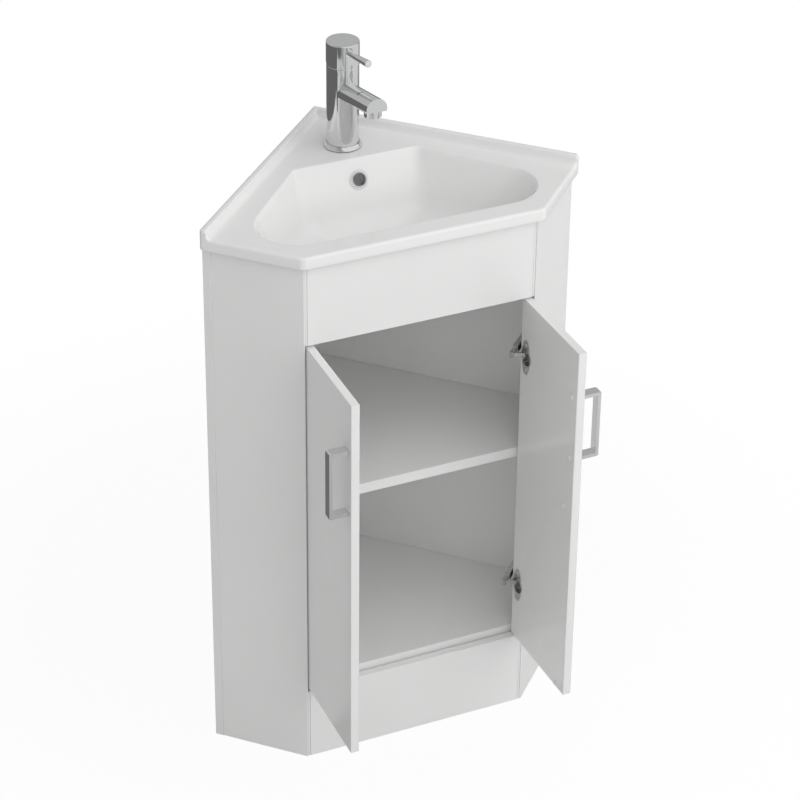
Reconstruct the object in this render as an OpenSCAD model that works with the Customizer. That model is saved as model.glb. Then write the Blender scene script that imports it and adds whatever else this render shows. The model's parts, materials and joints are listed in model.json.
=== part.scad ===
// Corner vanity unit: a five-sided cabinet with two doors, a ceramic corner basin
// and a single-lever mixer tap.  Millimetres, +Z up.  The origin is the corner of
// the room at floor level; the walls run at 45 degrees and the front faces -Y.

/* [Cabinet] */
// Length of each back panel along its wall
wall_len = 383; // [370:1:400]
// Depth of each side panel, square to its wall
side_len = 143; // [130:1:160]
// Height of the cabinet under the basin
cabinet_h = 804; // [770:1:850]
// Thickness of the side, base and shelf boards and of the wall rails
board_t = 16; // [15:0.5:18]
// Thickness of the back panels
back_t = 12; // [10:0.5:14]
// Width of the blunt nose on the front end of a side panel
nose_w = 2.2; // [1.8:0.1:2.4]
// Height of the wall rails
rail_h = 80; // [60:1:100]
// Distance from the front plane back to the shelf and base edges
shelf_setback = 14; // [13.6:0.2:20]
// Height of the top of the base panel
base_top = 129.5; // [128:0.5:140]
// Height of the top of the shelf
shelf_top = 436.6; // [360:0.2:480]
// Height of the plinth
plinth_h = 118; // [80:1:119]
// Height of the fixed front panel under the basin
fascia_h = 120; // [110:1:126]
// Leg length of the triangular fixing blocks
block_leg = 30; // [20:1:32]

/* [Doors] */
// Thickness of the doors, the fixed front panel and the plinth
front_t = 12; // [12:0.1:12.4]
// Gap between a side panel's nose and the front panels
edge_gap = 3.2; // [3.1:0.1:3.6]
// Gap between the two closed doors
mid_gap = 3; // [2:0.2:6]
// Gap above and below the doors
door_gap = 2.5; // [2:0.1:5]
// Angle at which the doors stand open
rest_open = 90.8; // [80:0.2:94]

/* [Handles] */
// Distance between the two fixing screws
handle_pitch = 96; // [64:32:128]
// Width of the flat strip
handle_w = 14; // [11:0.5:18]
// Thickness of the grip
handle_bar = 4.5; // [4:0.5:7]
// Thickness of the two legs
handle_leg = 8; // [7:0.5:11]
// Distance that the handle stands out from the door
handle_out = 28; // [24:1:36]
// Distance from the free edge of the door to the handle's centre line
handle_inset = 13; // [10:0.5:40]
// Distance from the top edge of the door down to the middle of the handle
handle_drop = 121.5; // [100:0.5:180]

/* [Hinges] */
// Distance from the bottom edge of the door up to the lower hinge
hinge_rise = 94; // [80:0.5:140]
// Distance from the top edge of the door down to the upper hinge
hinge_drop = 86; // [70:0.5:120]
// Diameter of the hinge cup
cup_d = 26; // [25.6:0.1:26.4]
// Distance from the door's edge to the centre of the cup
cup_inset = 16; // [15.8:0.1:16.2]
// Depth of the cup
cup_depth = 9.5; // [9.2:0.1:9.8]
// Height of the cup's flange
flange_h = 54; // [50:1:60]
// Distance between the two screws of a cup
cup_pitch = 38; // [34:1:40]
// Length of the arm's base on the side panel
plate_len = 45; // [40:1:52]
// Distance between the two screws of a mounting plate
plate_pitch = 32; // [28:1:34]

/* [Basin] */
// Thickness of the ceramic rim
rim_t = 18; // [15:0.5:24]
// Distance that the rim stands out past the cabinet's front and sides
overhang = 9.4; // [5:0.2:14]
// Height of the upstand along the walls above the rim
upstand_h = 13; // [9:0.5:25]
// Thickness of the upstand at its top
upstand_t = 10; // [8:0.5:14]
// Radius of the hollow at the upstand's foot
upstand_foot = 5; // [3:0.5:8]
// Radius of the rim's outer edges
rim_round = 4; // [2:0.5:6]
// Thickness of the bowl's ceramic wall
bowl_t = 8; // [7:0.5:9]
// Depth of the bowl from the top of the rim to its floor at the waste
bowl_depth = 106; // [98:1:122]
// Distance from the front plane back to the bowl's mouth
bowl_margin = 23; // [22:0.5:30]
// Thickness of the ceramic around the waste
waste_seat_t = 20; // [18:0.5:24]
// Distance from the front edge of the bowl's mouth back to the waste
waste_back = 94; // [86:1:101]
// Diameter of the overflow hole
overflow_d = 18; // [14:0.5:20]

/* [Waste] */
// Outside diameter of the waste's threaded tail
waste_d = 41.9; // [40:0.1:44]
// Inside diameter of the waste
waste_bore_d = 34; // [30:0.5:36]
// Diameter of the waste's flange
waste_flange_d = 63; // [58:0.5:66]
// Length of the tail below the ceramic
tail_len = 72; // [55:1:90]
// Lift of the click plug
plug_lift = 8; // [5:0.5:9]

/* [Tap] */
// Distance from the room corner to the tap's axis
tap_y = 104; // [100:1:108]
// Diameter of the tap's body
tap_body_d = 45; // [44:0.5:48]
// Height of the seam between body and head above the deck
tap_body_h = 124; // [110:1:150]
// Diameter of the ring round the tap's foot
tap_ring_d = 53.5; // [52:0.5:58]
// Height of the ring round the tap's foot
tap_ring_h = 6; // [4:0.5:8]
// Diameter of the spout
spout_d = 30; // [28:0.5:32]
// Distance from the spout's axis down to its flat underside
spout_flat = 4.5; // [4:0.5:7]
// Rise of the spout above the horizontal
spout_rise = 11.5; // [8:0.5:14]
// Height of the spout's axis above the deck, at the body's axis
spout_root_h = 83; // [75:1:88]
// Reach of the spout from the body's axis
spout_reach = 116; // [100:1:130]
// Diameter of the aerator
aerator_d = 24; // [22:0.5:25]
// Height of the aerator's lower edge above the deck
aerator_rise = 91; // [88:0.5:94]
// Height of the head
head_h = 34; // [32:1:40]
// Diameter of the head
head_d = 46; // [46:0.5:48]
// Length of the lever pin outside the head
pin_len = 65; // [50:1:80]
// Diameter of the lever pin at its root
pin_root_d = 7; // [6:0.5:8]
// Diameter of the lever pin at its tip
pin_tip_d = 10; // [9:0.5:12]
// Lift of the lever from closed to full flow
lever_lift = 22; // [15:1:24]

/* [Hidden] */

$fn = 48;
snug = 0.05;          // radial clearance of a part that is pressed, screwed or slid in
running = 0.05;       // radial clearance of a part that turns or slides
tiny = 0.1;           // overshoot of a cutting tool

white = "white";
steel = [0.78, 0.78, 0.76];
chrome = [0.85, 0.87, 0.9];
rubber = [0.15, 0.15, 0.15];

front_w = (wall_len - side_len) * sqrt(2);
front_y = (wall_len + side_len) / sqrt(2);
rim_z = cabinet_h + rim_t;
bowl_floor_z = rim_z - bowl_depth;
bowl_front = front_y - bowl_margin;
waste_y = bowl_front - waste_back;
fascia_z = cabinet_h - fascia_h;
door_z = plinth_h + door_gap;
door_h = fascia_z - door_gap - door_z;
handle_z = door_z + door_h - handle_drop;
hinge_low_z = door_z + hinge_rise;
hinge_high_z = door_z + door_h - hinge_drop;

// --- frames of reference -------------------------------------------------------

// X runs along the right wall from the room corner, the room lies towards -Y
module wall_frame() rotate([0, 0, -45]) children();

// Origin at the left front corner: X to the right, Y back from the front plane
module at_corner() translate([-front_w / 2, -front_y, 0]) children();

// From the left front corner: X back along the side panel, its inner side is -Y
module along_side() at_corner() rotate([0, 0, 135]) children();

// Draws the left-hand piece for side = -1 and its mirror image for side = 1
module on_side(side) {
    if (side < 0) children();
    else mirror([1, 0, 0]) children();
}

// Five-sided plan of the cabinet, drawn in by these distances (in the wall frame)
function plan(walls, sides, front) =
    let (far = wall_len - sides, sum = wall_len + side_len - front * sqrt(2))
    [[walls, -walls], [far, -walls], [far, far - sum], [sum - far, -far], [walls, -far]];

module slab(walls, sides, front, bottom, thickness)
    wall_frame() translate([0, 0, bottom]) linear_extrude(thickness)
        polygon(plan(walls, sides, front));

module ring(outer_d, inner_d, height) difference() {
    cylinder(d = outer_d, h = height);
    translate([0, 0, -tiny]) cylinder(d = inner_d, h = height + 2 * tiny);
}

module hex_nut(flats, hole_d, height) difference() {
    cylinder(d = flats / cos(30), h = height, $fn = 6);
    translate([0, 0, -tiny]) cylinder(d = hole_d, h = height + 2 * tiny);
}

// --- carcass -------------------------------------------------------------------

peg_d = 5;
peg_in = 9;           // depth of a shelf peg in its panel
peg_out = 8;          // length of a shelf peg under the shelf
peg_places = [30, 105];
plate_screw_d = 3.5;
plate_screw_len = 12;
plate_screw_x = 37;   // distance of the plate's screws from the front corner
front_edge = nose_w + edge_gap;
shelf_play = 0.5;

module side_panel(side) color(white) on_side(side) difference() {
    rear = (side_len - back_t) / sqrt(2);
    inward = board_t / sqrt(2);
    at_corner() linear_extrude(cabinet_h) polygon([
        [0, 0], [nose_w, 0], [nose_w, board_t * sqrt(2) - nose_w],
        [inward - rear, inward + rear], [-rear, rear]]);
    for (x = peg_places) shelf_peg_hole(x);
    for (z = [hinge_low_z, hinge_high_z], s = [-1, 1])
        along_side() translate([plate_screw_x, -board_t - tiny, z + s * plate_pitch / 2])
            rotate([-90, 0, 0]) cylinder(d = plate_screw_d + 2 * snug, h = plate_screw_len + tiny);
}

peg_z = shelf_top - board_t - peg_d / 2;
module shelf_peg_hole(x) along_side() translate([x, -board_t - tiny, peg_z])
    rotate([-90, 0, 0]) cylinder(d = peg_d + 2 * snug, h = peg_in + tiny, $fn = 24);

module shelf_pegs() color(steel) for (side = [-1, 1], x = peg_places)
    on_side(side) along_side() translate([x, -board_t - peg_out, peg_z])
        rotate([-90, 0, 0]) cylinder(d = peg_d, h = peg_out + peg_in, $fn = 24);

wall_hole_d = 8;
wall_hole_places = [110, 290];
wall_hole_z = cabinet_h - rail_h / 2;
module wall_holes() for (x = wall_hole_places) wall_frame()
    translate([x, tiny, wall_hole_z]) rotate([90, 0, 0])
        cylinder(d = wall_hole_d, h = back_t + board_t + 2 * tiny, $fn = 32);

// One of the two back panels; the left one butts against the back of the right one
module back_panel(side, start) color(white) difference() {
    on_side(-side) wall_frame() translate([start, -back_t, 0])
        cube([wall_len - start, back_t, cabinet_h]);
    on_side(-side) wall_holes();
}

module wall_rail(side, start) color(white) difference() {
    on_side(-side) wall_frame() translate([start, -back_t - board_t, cabinet_h - rail_h])
        cube([wall_len - board_t - start, board_t, rail_h]);
    on_side(-side) wall_holes();
}

module base_panel() color(white)
    slab(back_t, board_t, shelf_setback, base_top - board_t, board_t);

module shelf() color(white)
    slab(back_t + shelf_play, board_t + shelf_play, shelf_setback, shelf_top - board_t, board_t);

// A board in the front plane between the two side panels
module front_board(bottom, height) color(white)
    translate([front_edge - front_w / 2, -front_y, bottom])
        cube([front_w - 2 * front_edge, front_t, height]);

module fascia() front_board(fascia_z, fascia_h);
module plinth() front_board(0, plinth_h);

// Corner blocks hold the fascia and the plinth to the side panels
block_margin = 14;
module fixing_block(bottom, height) {
    root = [board_t * sqrt(2) - front_t, front_t];
    at_corner() translate([0, 0, bottom]) linear_extrude(height) polygon([
        root, root + [block_leg, 0], root + block_leg * [-sqrt(0.5), sqrt(0.5)]]);
}

module fixing_blocks() color(white) for (side = [-1, 1]) on_side(side) {
    fixing_block(block_margin, base_top - board_t - block_margin);
    fixing_block(fascia_z + block_margin, fascia_h - block_margin);
}

// --- doors ---------------------------------------------------------------------

door_w = (front_w - 2 * front_edge - mid_gap) / 2;
// The doors turn about this line, seen from the left front corner
axis_inset = 3.2;
axis_in = front_edge + axis_inset;
axis_back = 5;

// Swings a closed left-hand door piece to its rest angle
module swung(side) on_side(side) at_corner() translate([axis_in, axis_back, 0])
    rotate([0, 0, -rest_open]) translate([-axis_in, -axis_back, 0]) children();

cup_x = front_edge + cup_inset;
flange_t = 1.2;
cup_wall = 0.6;
cup_screw_d = 3;
cup_screw_len = 8;
handle_x = front_edge + door_w - handle_inset;
handle_screw_d = 4;
handle_thread = 10;
bumper_d = 7;
bumper_x = front_edge + door_w - 24;
bumper_t = shelf_setback - front_t - 0.3;

// Places a tool that points forward (-Y) into the back of a closed door
module from_inside(x, z, depth) translate([x, depth, z]) rotate([90, 0, 0]) children();

module door(side) color(white) swung(side) difference() {
    translate([front_edge, 0, door_z]) cube([door_w, front_t, door_h]);
    for (z = [hinge_low_z, hinge_high_z]) {
        from_inside(cup_x, z, front_t + tiny) cylinder(d = cup_d + 2 * snug, h = cup_depth + tiny);
        for (s = [-1, 1]) from_inside(cup_x, z + s * cup_pitch / 2, front_t + tiny)
            cylinder(d = cup_screw_d + 2 * snug, h = cup_screw_len - flange_t + 0.2, $fn = 24);
    }
    for (s = [-1, 1]) from_inside(handle_x, handle_z + s * handle_pitch / 2, front_t + tiny)
        cylinder(d = handle_screw_d + 0.5, h = front_t + 2 * tiny, $fn = 24);
}

module door_bumpers(side) color(rubber) swung(side)
    for (z = [base_top - bumper_d / 2 - 0.4, shelf_top - board_t / 2])
        from_inside(bumper_x, z, front_t + bumper_t) cylinder(d = bumper_d, h = bumper_t, $fn = 32);

// Rectangle with round corners, centred
module soft_rect(w, h, r) {
    square([w - 2 * r, h], center = true);
    square([w, h - 2 * r], center = true);
    for (x = [-1, 1], y = [-1, 1])
        translate([x * (w / 2 - r), y * (h / 2 - r)]) circle(r = r, $fn = 24);
}

handle_corner = 3;
// Side view of the handle: a C that opens towards the door (the door is at X = 0)
module handle_outline() difference() {
    union() {
        translate([-handle_out / 2, 0])
            soft_rect(handle_out, handle_pitch + handle_leg, handle_corner);
        translate([-handle_corner, -handle_pitch / 2 - handle_leg / 2])
            square([handle_corner, handle_pitch + handle_leg]);
    }
    translate([handle_bar - handle_out, -handle_pitch / 2 + handle_leg / 2])
        square([handle_out, handle_pitch - handle_leg]);
}

module handle(side) color(chrome) swung(side) difference() {
    translate([handle_x + handle_w / 2, 0, handle_z]) rotate([90, 0, -90])
        rotate([0, 180, 0]) translate([0, 0, -handle_w]) linear_extrude(handle_w)
            handle_outline();
    for (s = [-1, 1]) translate([handle_x, tiny, handle_z + s * handle_pitch / 2])
        rotate([90, 0, 0]) cylinder(d = handle_screw_d + 2 * snug, h = handle_thread + tiny, $fn = 24);
}

module handle_screws(side) color(steel) swung(side)
    for (s = [-1, 1]) from_inside(handle_x, handle_z + s * handle_pitch / 2, front_t + 2.4) {
        cylinder(d = 2 * handle_screw_d, h = 2.4, $fn = 32);
        cylinder(d = handle_screw_d, h = 2.4 + front_t + handle_thread - 1, $fn = 24);
    }

// --- concealed hinges ----------------------------------------------------------

link_w = 2.8;         // half the height of the link
fork_w = 4.6;         // half the height of the arm's fork
arm_half = 6.2;       // half the height of the arm
arm_t = 7;
arm_off = 10;         // from the side panel's inner face to the arm's middle
eye_r = 2.8;
pivot_d = 2;
plate_t = 2.5;
lug_in = 4.9;
lug_out = 7.4;

// Cup pin on the closed door and arm pin on the cabinet, from the front corner.
// The arm pin lies on the line through the door's axis that halves the cup pin's
// swing, so the link has the same length at both ends of a 90 degree swing.
cup_pin_in = 7.2;     // from the door's edge
cup_pin_deep = 2.1;   // below the door's back
door_axis = [axis_in, axis_back];
cup_pin = [front_edge + cup_pin_in, front_t - cup_pin_deep];
to_pin = cup_pin - door_axis;
half_way = atan2(to_pin[1], to_pin[0]) - 45;
arm_line = (board_t + arm_off) * sqrt(2);
arm_reach = (arm_line - axis_in - axis_back) / (cos(half_way) + sin(half_way));
arm_pin = door_axis + arm_reach * [cos(half_way), sin(half_way)];
pin_swing = [to_pin[0] * cos(rest_open) + to_pin[1] * sin(rest_open),
             to_pin[1] * cos(rest_open) - to_pin[0] * sin(rest_open)];
rest_pin = door_axis + pin_swing;
link_len = norm(cup_pin - arm_pin);
link_short = arm_reach - norm(to_pin);
link_angle = atan2(rest_pin[1] - arm_pin[1], rest_pin[0] - arm_pin[0]);
slot_half = pivot_d / 2 + 0.55;
prong_half = slot_half + 0.7;

module hinge_cup(side, z) color(steel) swung(side) difference() {
    union() {
        from_inside(cup_x, z, front_t + flange_t) linear_extrude(flange_t) {
            circle(d = cup_d + 2);
            soft_rect(13, flange_h, 6);
            soft_rect(19, flange_h - 12, 6);
        }
        difference() {
            from_inside(cup_x, z, front_t + tiny) cylinder(d = cup_d, h = cup_depth);
            from_inside(cup_x, z, front_t + 1) cylinder(d = cup_d - 2 * cup_wall,
                                                        h = cup_depth + 1 - cup_wall - tiny);
        }
        intersection() {
            from_inside(cup_x, z, front_t) cylinder(d = cup_d - tiny, h = cup_depth - tiny);
            for (s = [-1, 1]) translate([cup_x - cup_d / 2, front_t - cup_depth,
                                         z + s * (lug_in + lug_out) / 2 - (lug_out - lug_in) / 2])
                cube([cup_pin[0] + 2 - cup_x + cup_d / 2, cup_depth - 0.2, lug_out - lug_in]);
        }
    }
    // Mouth of the cup through its flange, with the notch that lets the link pass
    from_inside(cup_x, z, front_t + flange_t + tiny)
        cylinder(d = cup_d - 2 * cup_wall, h = flange_t + 2 * tiny);
    translate([cup_x - cup_d / 2 - 2, front_t - cup_depth + cup_wall, z - link_w - 0.6])
        cube([5, cup_depth + flange_t, 2 * link_w + 1.2]);
    for (s = [-1, 1]) from_inside(cup_x, z + s * cup_pitch / 2, front_t + flange_t + tiny)
        cylinder(d = cup_screw_d + 2 * snug, h = flange_t + 2 * tiny, $fn = 24);
    translate([cup_pin[0], cup_pin[1], z - lug_out - tiny])
        cylinder(d = pivot_d + 0.04, h = 2 * lug_out + 2 * tiny, $fn = 24);
}

module cup_pins(side) color(steel) swung(side) for (z = [hinge_low_z, hinge_high_z])
    translate([cup_pin[0], cup_pin[1], z - lug_out]) cylinder(d = pivot_d, h = 2 * lug_out, $fn = 24);

module cup_screws(side) color(steel) swung(side)
    for (z = [hinge_low_z, hinge_high_z], s = [-1, 1])
        from_inside(cup_x, z + s * cup_pitch / 2, front_t + flange_t + 1.4) {
            cylinder(d = 6, h = 1.4, $fn = 32);
            cylinder(d = cup_screw_d, h = 1.4 + cup_screw_len, $fn = 24);
        }

// The arm in the frame of the side panel: X back from the front corner
arm_tip_x = (arm_pin[1] - arm_pin[0]) / sqrt(2);
arm_end = plate_screw_x + plate_len / 2 + 4;
neck_len = 13;
boss_t = arm_off - arm_t / 2;
// The arm's fixing screw stands in the plate's boss, its adjuster on top of the boss
fixing_x = 12;
fixing_d = 4;
fixing_deep = 5;
adjuster_x = 10;
adjuster_d = 3;
module hinge_arm(side, z) color(steel) on_side(side) along_side()
    translate([0, -board_t - arm_off, z]) difference() {
        union() {
            translate([arm_tip_x, 0, -fork_w]) cylinder(r = eye_r, h = 2 * fork_w);
            translate([arm_tip_x, -eye_r, -fork_w]) cube([neck_len + 2, 2 * eye_r, 2 * fork_w]);
            translate([arm_tip_x + neck_len, -arm_t / 2, -arm_half])
                cube([arm_end - arm_tip_x - neck_len, arm_t, 2 * arm_half]);
        }
        // Gap between the fork's cheeks, and the channel under the arm
        translate([arm_tip_x - 2 * eye_r, -arm_t, -link_w - 0.3])
            cube([2 * eye_r + 11, 2 * arm_t, 2 * link_w + 0.6]);
        translate([arm_tip_x + neck_len + 2, -arm_t / 2 + 1.6, -arm_half + 1.4])
            cube([arm_end - arm_tip_x - neck_len, arm_t, 2 * arm_half - 2.8]);
        translate([plate_screw_x + fixing_x, 0, 0]) rotate([90, 0, 0])
            cylinder(d = fixing_d + 2 * snug, h = arm_t, $fn = 24);
        translate([plate_screw_x - adjuster_x, 0, 0]) rotate([90, 0, 0])
            cylinder(d = adjuster_d + 2 * snug, h = arm_t, $fn = 24);
        translate([arm_tip_x, 0, -fork_w - tiny])
            cylinder(d = pivot_d + 0.04, h = 2 * fork_w + 2 * tiny, $fn = 24);
    }

// Cruciform mounting plate: a long boss that the arm's flanges sit on, and two ears
module hinge_plates() color(steel)
    for (side = [-1, 1], z = [hinge_low_z, hinge_high_z])
        on_side(side) along_side() translate([plate_screw_x, -board_t, z]) difference() {
            union() {
                translate([-plate_len / 2, -boss_t, -arm_half])
                    cube([plate_len, boss_t, 2 * arm_half]);
                rotate([90, 0, 0]) linear_extrude(plate_t)
                    soft_rect(13, plate_pitch + 12, 6);
            }
            for (s = [-1, 1]) translate([0, tiny, s * plate_pitch / 2]) rotate([90, 0, 0])
                cylinder(d = plate_screw_d + 2 * snug, h = plate_t + 2 * tiny, $fn = 24);
            translate([fixing_x, -boss_t - tiny, 0]) rotate([-90, 0, 0])
                cylinder(d = fixing_d + 2 * snug, h = fixing_deep + tiny, $fn = 24);
        }

module hinge_plate_screws() color(steel)
    for (side = [-1, 1], z = [hinge_low_z, hinge_high_z], s = [-1, 1])
        on_side(side) along_side() translate([plate_screw_x, -board_t, z + s * plate_pitch / 2])
            rotate([-90, 0, 0]) {
                translate([0, 0, -plate_t - 1.6]) cylinder(d = 6.4, h = 1.6, $fn = 32);
                translate([0, 0, -plate_t - 1.6])
                    cylinder(d = plate_screw_d, h = plate_t + 1.6 + plate_screw_len - 0.5, $fn = 24);
            }

module hinge_arm_screws() color(steel)
    for (side = [-1, 1], z = [hinge_low_z, hinge_high_z])
        on_side(side) along_side() translate([plate_screw_x, -board_t - arm_off - arm_t / 2, z])
            rotate([-90, 0, 0]) {
                translate([fixing_x, 0, -1.6]) cylinder(d = 6.8, h = 1.6, $fn = 32);
                translate([fixing_x, 0, -1.6])
                    cylinder(d = fixing_d, h = 1.6 + arm_t + fixing_deep - 0.5, $fn = 24);
                translate([-adjuster_x, 0, -0.4]) cylinder(d = adjuster_d, h = 0.4 + arm_t, $fn = 24);
            }

module hinge_arm_pins() color(steel)
    for (side = [-1, 1], z = [hinge_low_z, hinge_high_z])
        on_side(side) at_corner() translate([arm_pin[0], arm_pin[1], z - fork_w])
            cylinder(d = pivot_d, h = 2 * fork_w, $fn = 24);

// Link from the arm's pin to an open fork that straddles the cup's pin
module hinge_link(side, z) color(steel) on_side(side) at_corner()
    translate([arm_pin[0], arm_pin[1], z - link_w]) rotate([0, 0, link_angle])
    linear_extrude(2 * link_w) difference() {
        union() {
            circle(r = eye_r - 0.2, $fn = 32);
            translate([0, -1.7]) square([link_short - 1, 3.4]);
            translate([link_short - 0.15, 0]) circle(r = prong_half, $fn = 32);
            translate([link_short - 0.15, -prong_half])
                square([link_len - link_short + 0.3, 2 * prong_half]);
        }
        circle(d = pivot_d + 2 * running, $fn = 24);
        translate([link_short - 0.15, 0]) circle(r = slot_half, $fn = 32);
        translate([link_short - 0.15, -slot_half]) square([10, 2 * slot_half]);
    }

// --- basin ---------------------------------------------------------------------

// Levels of the bowl: height, then the centre and radius of the rear and the front
// corner rounds of its outline.  The rear rounds keep their distance from the room
// corner, the front ones move with the cabinet's front corners and front plane.
function front_round(in, back, r) = [front_w / 2 - in, bowl_front - back - r, r];
skin = bowl_t;
foot = [0, waste_y, 34];
mouth = [rim_z, [86, 162, 14], front_round(26.7, 0, 58)];
collar = [cabinet_h, [84, 170, 14], front_round(31.7, 8, 53)];
waist = [cabinet_h - 52, [64, 199, 20], front_round(51.7, 28, 45)];
hip = [bowl_floor_z + 12, [44, 222, 22], front_round(87.7, 43, 38)];
dish = [bowl_floor_z, foot, foot];
skin_top = [cabinet_h + 4, [84, 168, 14 + skin], front_round(31.7, 9 - skin, 51 + skin)];
skin_waist = [cabinet_h - 60, [64, 199, 20 + skin], front_round(51.7, 28 - skin, 45 + skin)];
skin_base = [bowl_floor_z - waste_seat_t, foot + [0, 0, skin + 4], foot + [0, 0, skin + 4]];

module level(l, lift = 0) for (x = [-1, 1], c = [l[1], l[2]])
    translate([x * c[0], -c[1], l[0] + lift]) cylinder(r = c[2], h = 0.01);

module between(low, high, lift = 0) hull() {
    level(low);
    level(high, lift);
}

// Rim: hull of one rounded disc at each corner of the overhanging plan
module rim() wall_frame() hull() for (p = plan(rim_round, rim_round - overhang, rim_round - overhang))
    translate([p[0], p[1], cabinet_h]) rounded_disc();

module rounded_disc() {
    translate([0, 0, rim_round]) sphere(r = rim_round, $fn = 24);
    translate([0, 0, rim_t - rim_round]) sphere(r = rim_round, $fn = 24);
}

// Upstand along one wall: a flat-topped strip with a hollow at its foot
upstand_len = wall_len + overhang;
module upstand() wall_frame() translate([0, 0, rim_z - rim_round]) rotate([90, 0, 90])
    linear_extrude(upstand_len) difference() {
        union() {
            translate([-upstand_t, 0]) square([upstand_t, upstand_h + rim_round - 2]);
            translate([2 - upstand_t, 0]) square([upstand_t - 2, upstand_h + rim_round]);
            translate([2 - upstand_t, upstand_h + rim_round - 2]) circle(r = 2, $fn = 32);
            translate([-upstand_t - upstand_foot, 0]) square([upstand_foot, rim_round + upstand_foot]);
        }
        translate([-upstand_t - upstand_foot, rim_round + upstand_foot])
            circle(r = upstand_foot, $fn = 48);
        translate([-upstand_t - 2 * upstand_foot, rim_round + upstand_foot])
            square([2 * upstand_foot, upstand_h]);
    }

// Overflow duct behind the bowl, drawn in the YZ plane
rear_line = [for (l = [collar, waist, hip]) [-l[1][1] + l[1][2], l[0]], [34 - waste_y, bowl_floor_z]];
duct_gap = 7;
function behind(d) = [for (p = rear_line) p + d * [0.83, -0.56]];
function reversed(list) = [for (i = [len(list) - 1:-1:0]) list[i]];
module duct(near, far, width, extra) translate([-width / 2, 0, 0]) rotate([90, 0, 90])
    linear_extrude(width) polygon(concat(extra, behind(near), reversed(behind(far))));

overflow_z = cabinet_h - 9.5;
overflow_y = lookup(overflow_z, [[waist[0], rear_line[1][0]], [cabinet_h, rear_line[0][0]]]);
overflow_tilt = atan2(rear_line[0][0] - rear_line[1][0], cabinet_h - waist[0]);
// Z axis out of the bowl's rear wall at the overflow
module at_overflow() translate([0, overflow_y, overflow_z]) rotate([90 - overflow_tilt, 0, 0])
    children();

waste_hole_d = waste_d + 3;
tap_hole_d = 35;
deck_y = -tap_y;

module basin() color(white) difference() {
    union() {
        intersection() {
            union() {
                rim();
                upstand();
                mirror([1, 0, 0]) upstand();
                wall_frame() translate([0, -2 * rim_round, cabinet_h])
                    cube([wall_len, 2 * rim_round, rim_t]);
                mirror([1, 0, 0]) wall_frame() translate([0, -2 * rim_round, cabinet_h])
                    cube([wall_len, 2 * rim_round, rim_t]);
            }
            slab(0, -overhang, -overhang, cabinet_h, rim_t + upstand_h);
        }
        between(skin_waist, skin_top);
        between(skin_base, skin_waist);
        duct(bowl_t - 6, bowl_t + duct_gap + 6, 36, [[-150, cabinet_h + 4], [-136, cabinet_h + 4]]);
    }
    between(collar, mouth, 0.5);
    between(waist, collar);
    between(hip, waist);
    between(dish, hip);
    duct(bowl_t, bowl_t + duct_gap, 22, []);
    translate([0, -waste_y, bowl_floor_z - waste_seat_t - tiny])
        cylinder(d = waste_hole_d, h = waste_seat_t + 1);
    translate([-11, -waste_y, bowl_floor_z - 14]) cube([22, 40, 7]);
    at_overflow() translate([0, 0, -14]) cylinder(d = overflow_d + 2, h = 20);
    translate([0, deck_y, cabinet_h - tiny]) cylinder(d = tap_hole_d, h = rim_t + 2 * tiny);
}

module overflow_ring() color(chrome) at_overflow() rotate_extrude() difference() {
    union() {
        translate([overflow_d / 2, 0.1]) square([4.5, 1.3]);
        translate([overflow_d / 2, -7]) square([1 - snug, 8]);
        translate([overflow_d / 2 + 1.2, 1.4]) circle(r = 1.2, $fn = 24);
    }
    translate([overflow_d / 2 - 3, -8]) square([3, 12]);
}

// --- waste ---------------------------------------------------------------------

seal_t = 1.5;
flange_t2 = 2.5;
waste_top = bowl_floor_z + seal_t + flange_t2;
waste_low = bowl_floor_z - waste_seat_t - tail_len;
hub_d = 12;
hub_h = 9;
stem_d = 6;
hub_z = bowl_floor_z - waste_seat_t - 2;
plug_gap = 0.3;

module at_waste(z) translate([0, -waste_y, z]) children();

module waste_body() color(chrome) at_waste(0) difference() {
    union() {
        translate([0, 0, waste_low]) cylinder(d = waste_d, h = waste_top - waste_low);
        translate([0, 0, waste_top - flange_t2]) cylinder(d = waste_flange_d, h = flange_t2);
    }
    difference() {
        translate([0, 0, waste_low - tiny]) cylinder(d = waste_bore_d, h = waste_top - waste_low + 1);
        translate([0, 0, hub_z]) cylinder(d = hub_d, h = hub_h);
        for (a = [0, 60, 120]) rotate([0, 0, a]) translate([-waste_bore_d / 2 - 1, -1.25, hub_z])
            cube([waste_bore_d + 2, 2.5, hub_h]);
    }
    translate([0, 0, hub_z - tiny]) cylinder(d = stem_d + 2 * running, h = hub_h + 2 * tiny);
    // Overflow slots
    for (a = [30, 150, 270]) rotate([0, 0, a]) translate([0, -6, hub_z + hub_h + 2])
        cube([waste_d, 12, 4]);
}

module waste_plug() color(chrome) at_waste(0) {
    low = waste_top + plug_gap;
    stem_low = hub_z + hub_h - plug_lift - 4;
    translate([0, 0, low]) rotate_extrude() {
        square([25, 3]);
        translate([25, 1.5]) circle(r = 1.5, $fn = 24);
    }
    translate([0, 0, stem_low]) cylinder(d = stem_d, h = low - stem_low + 1);
}

module waste_upper_seal() color(rubber) at_waste(bowl_floor_z)
    ring(waste_flange_d - 2, waste_d + 1, seal_t);

lower_seal_t = 4;
module waste_lower_seal() color(rubber) at_waste(bowl_floor_z - waste_seat_t - lower_seal_t)
    ring(waste_d + 22, waste_d + 2 * snug, lower_seal_t);

backnut_h = 11;
module waste_backnut() color(chrome)
    at_waste(bowl_floor_z - waste_seat_t - lower_seal_t - backnut_h)
        hex_nut(waste_d + 12, waste_d + 2 * snug, backnut_h);

// --- tap -----------------------------------------------------------------------

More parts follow.
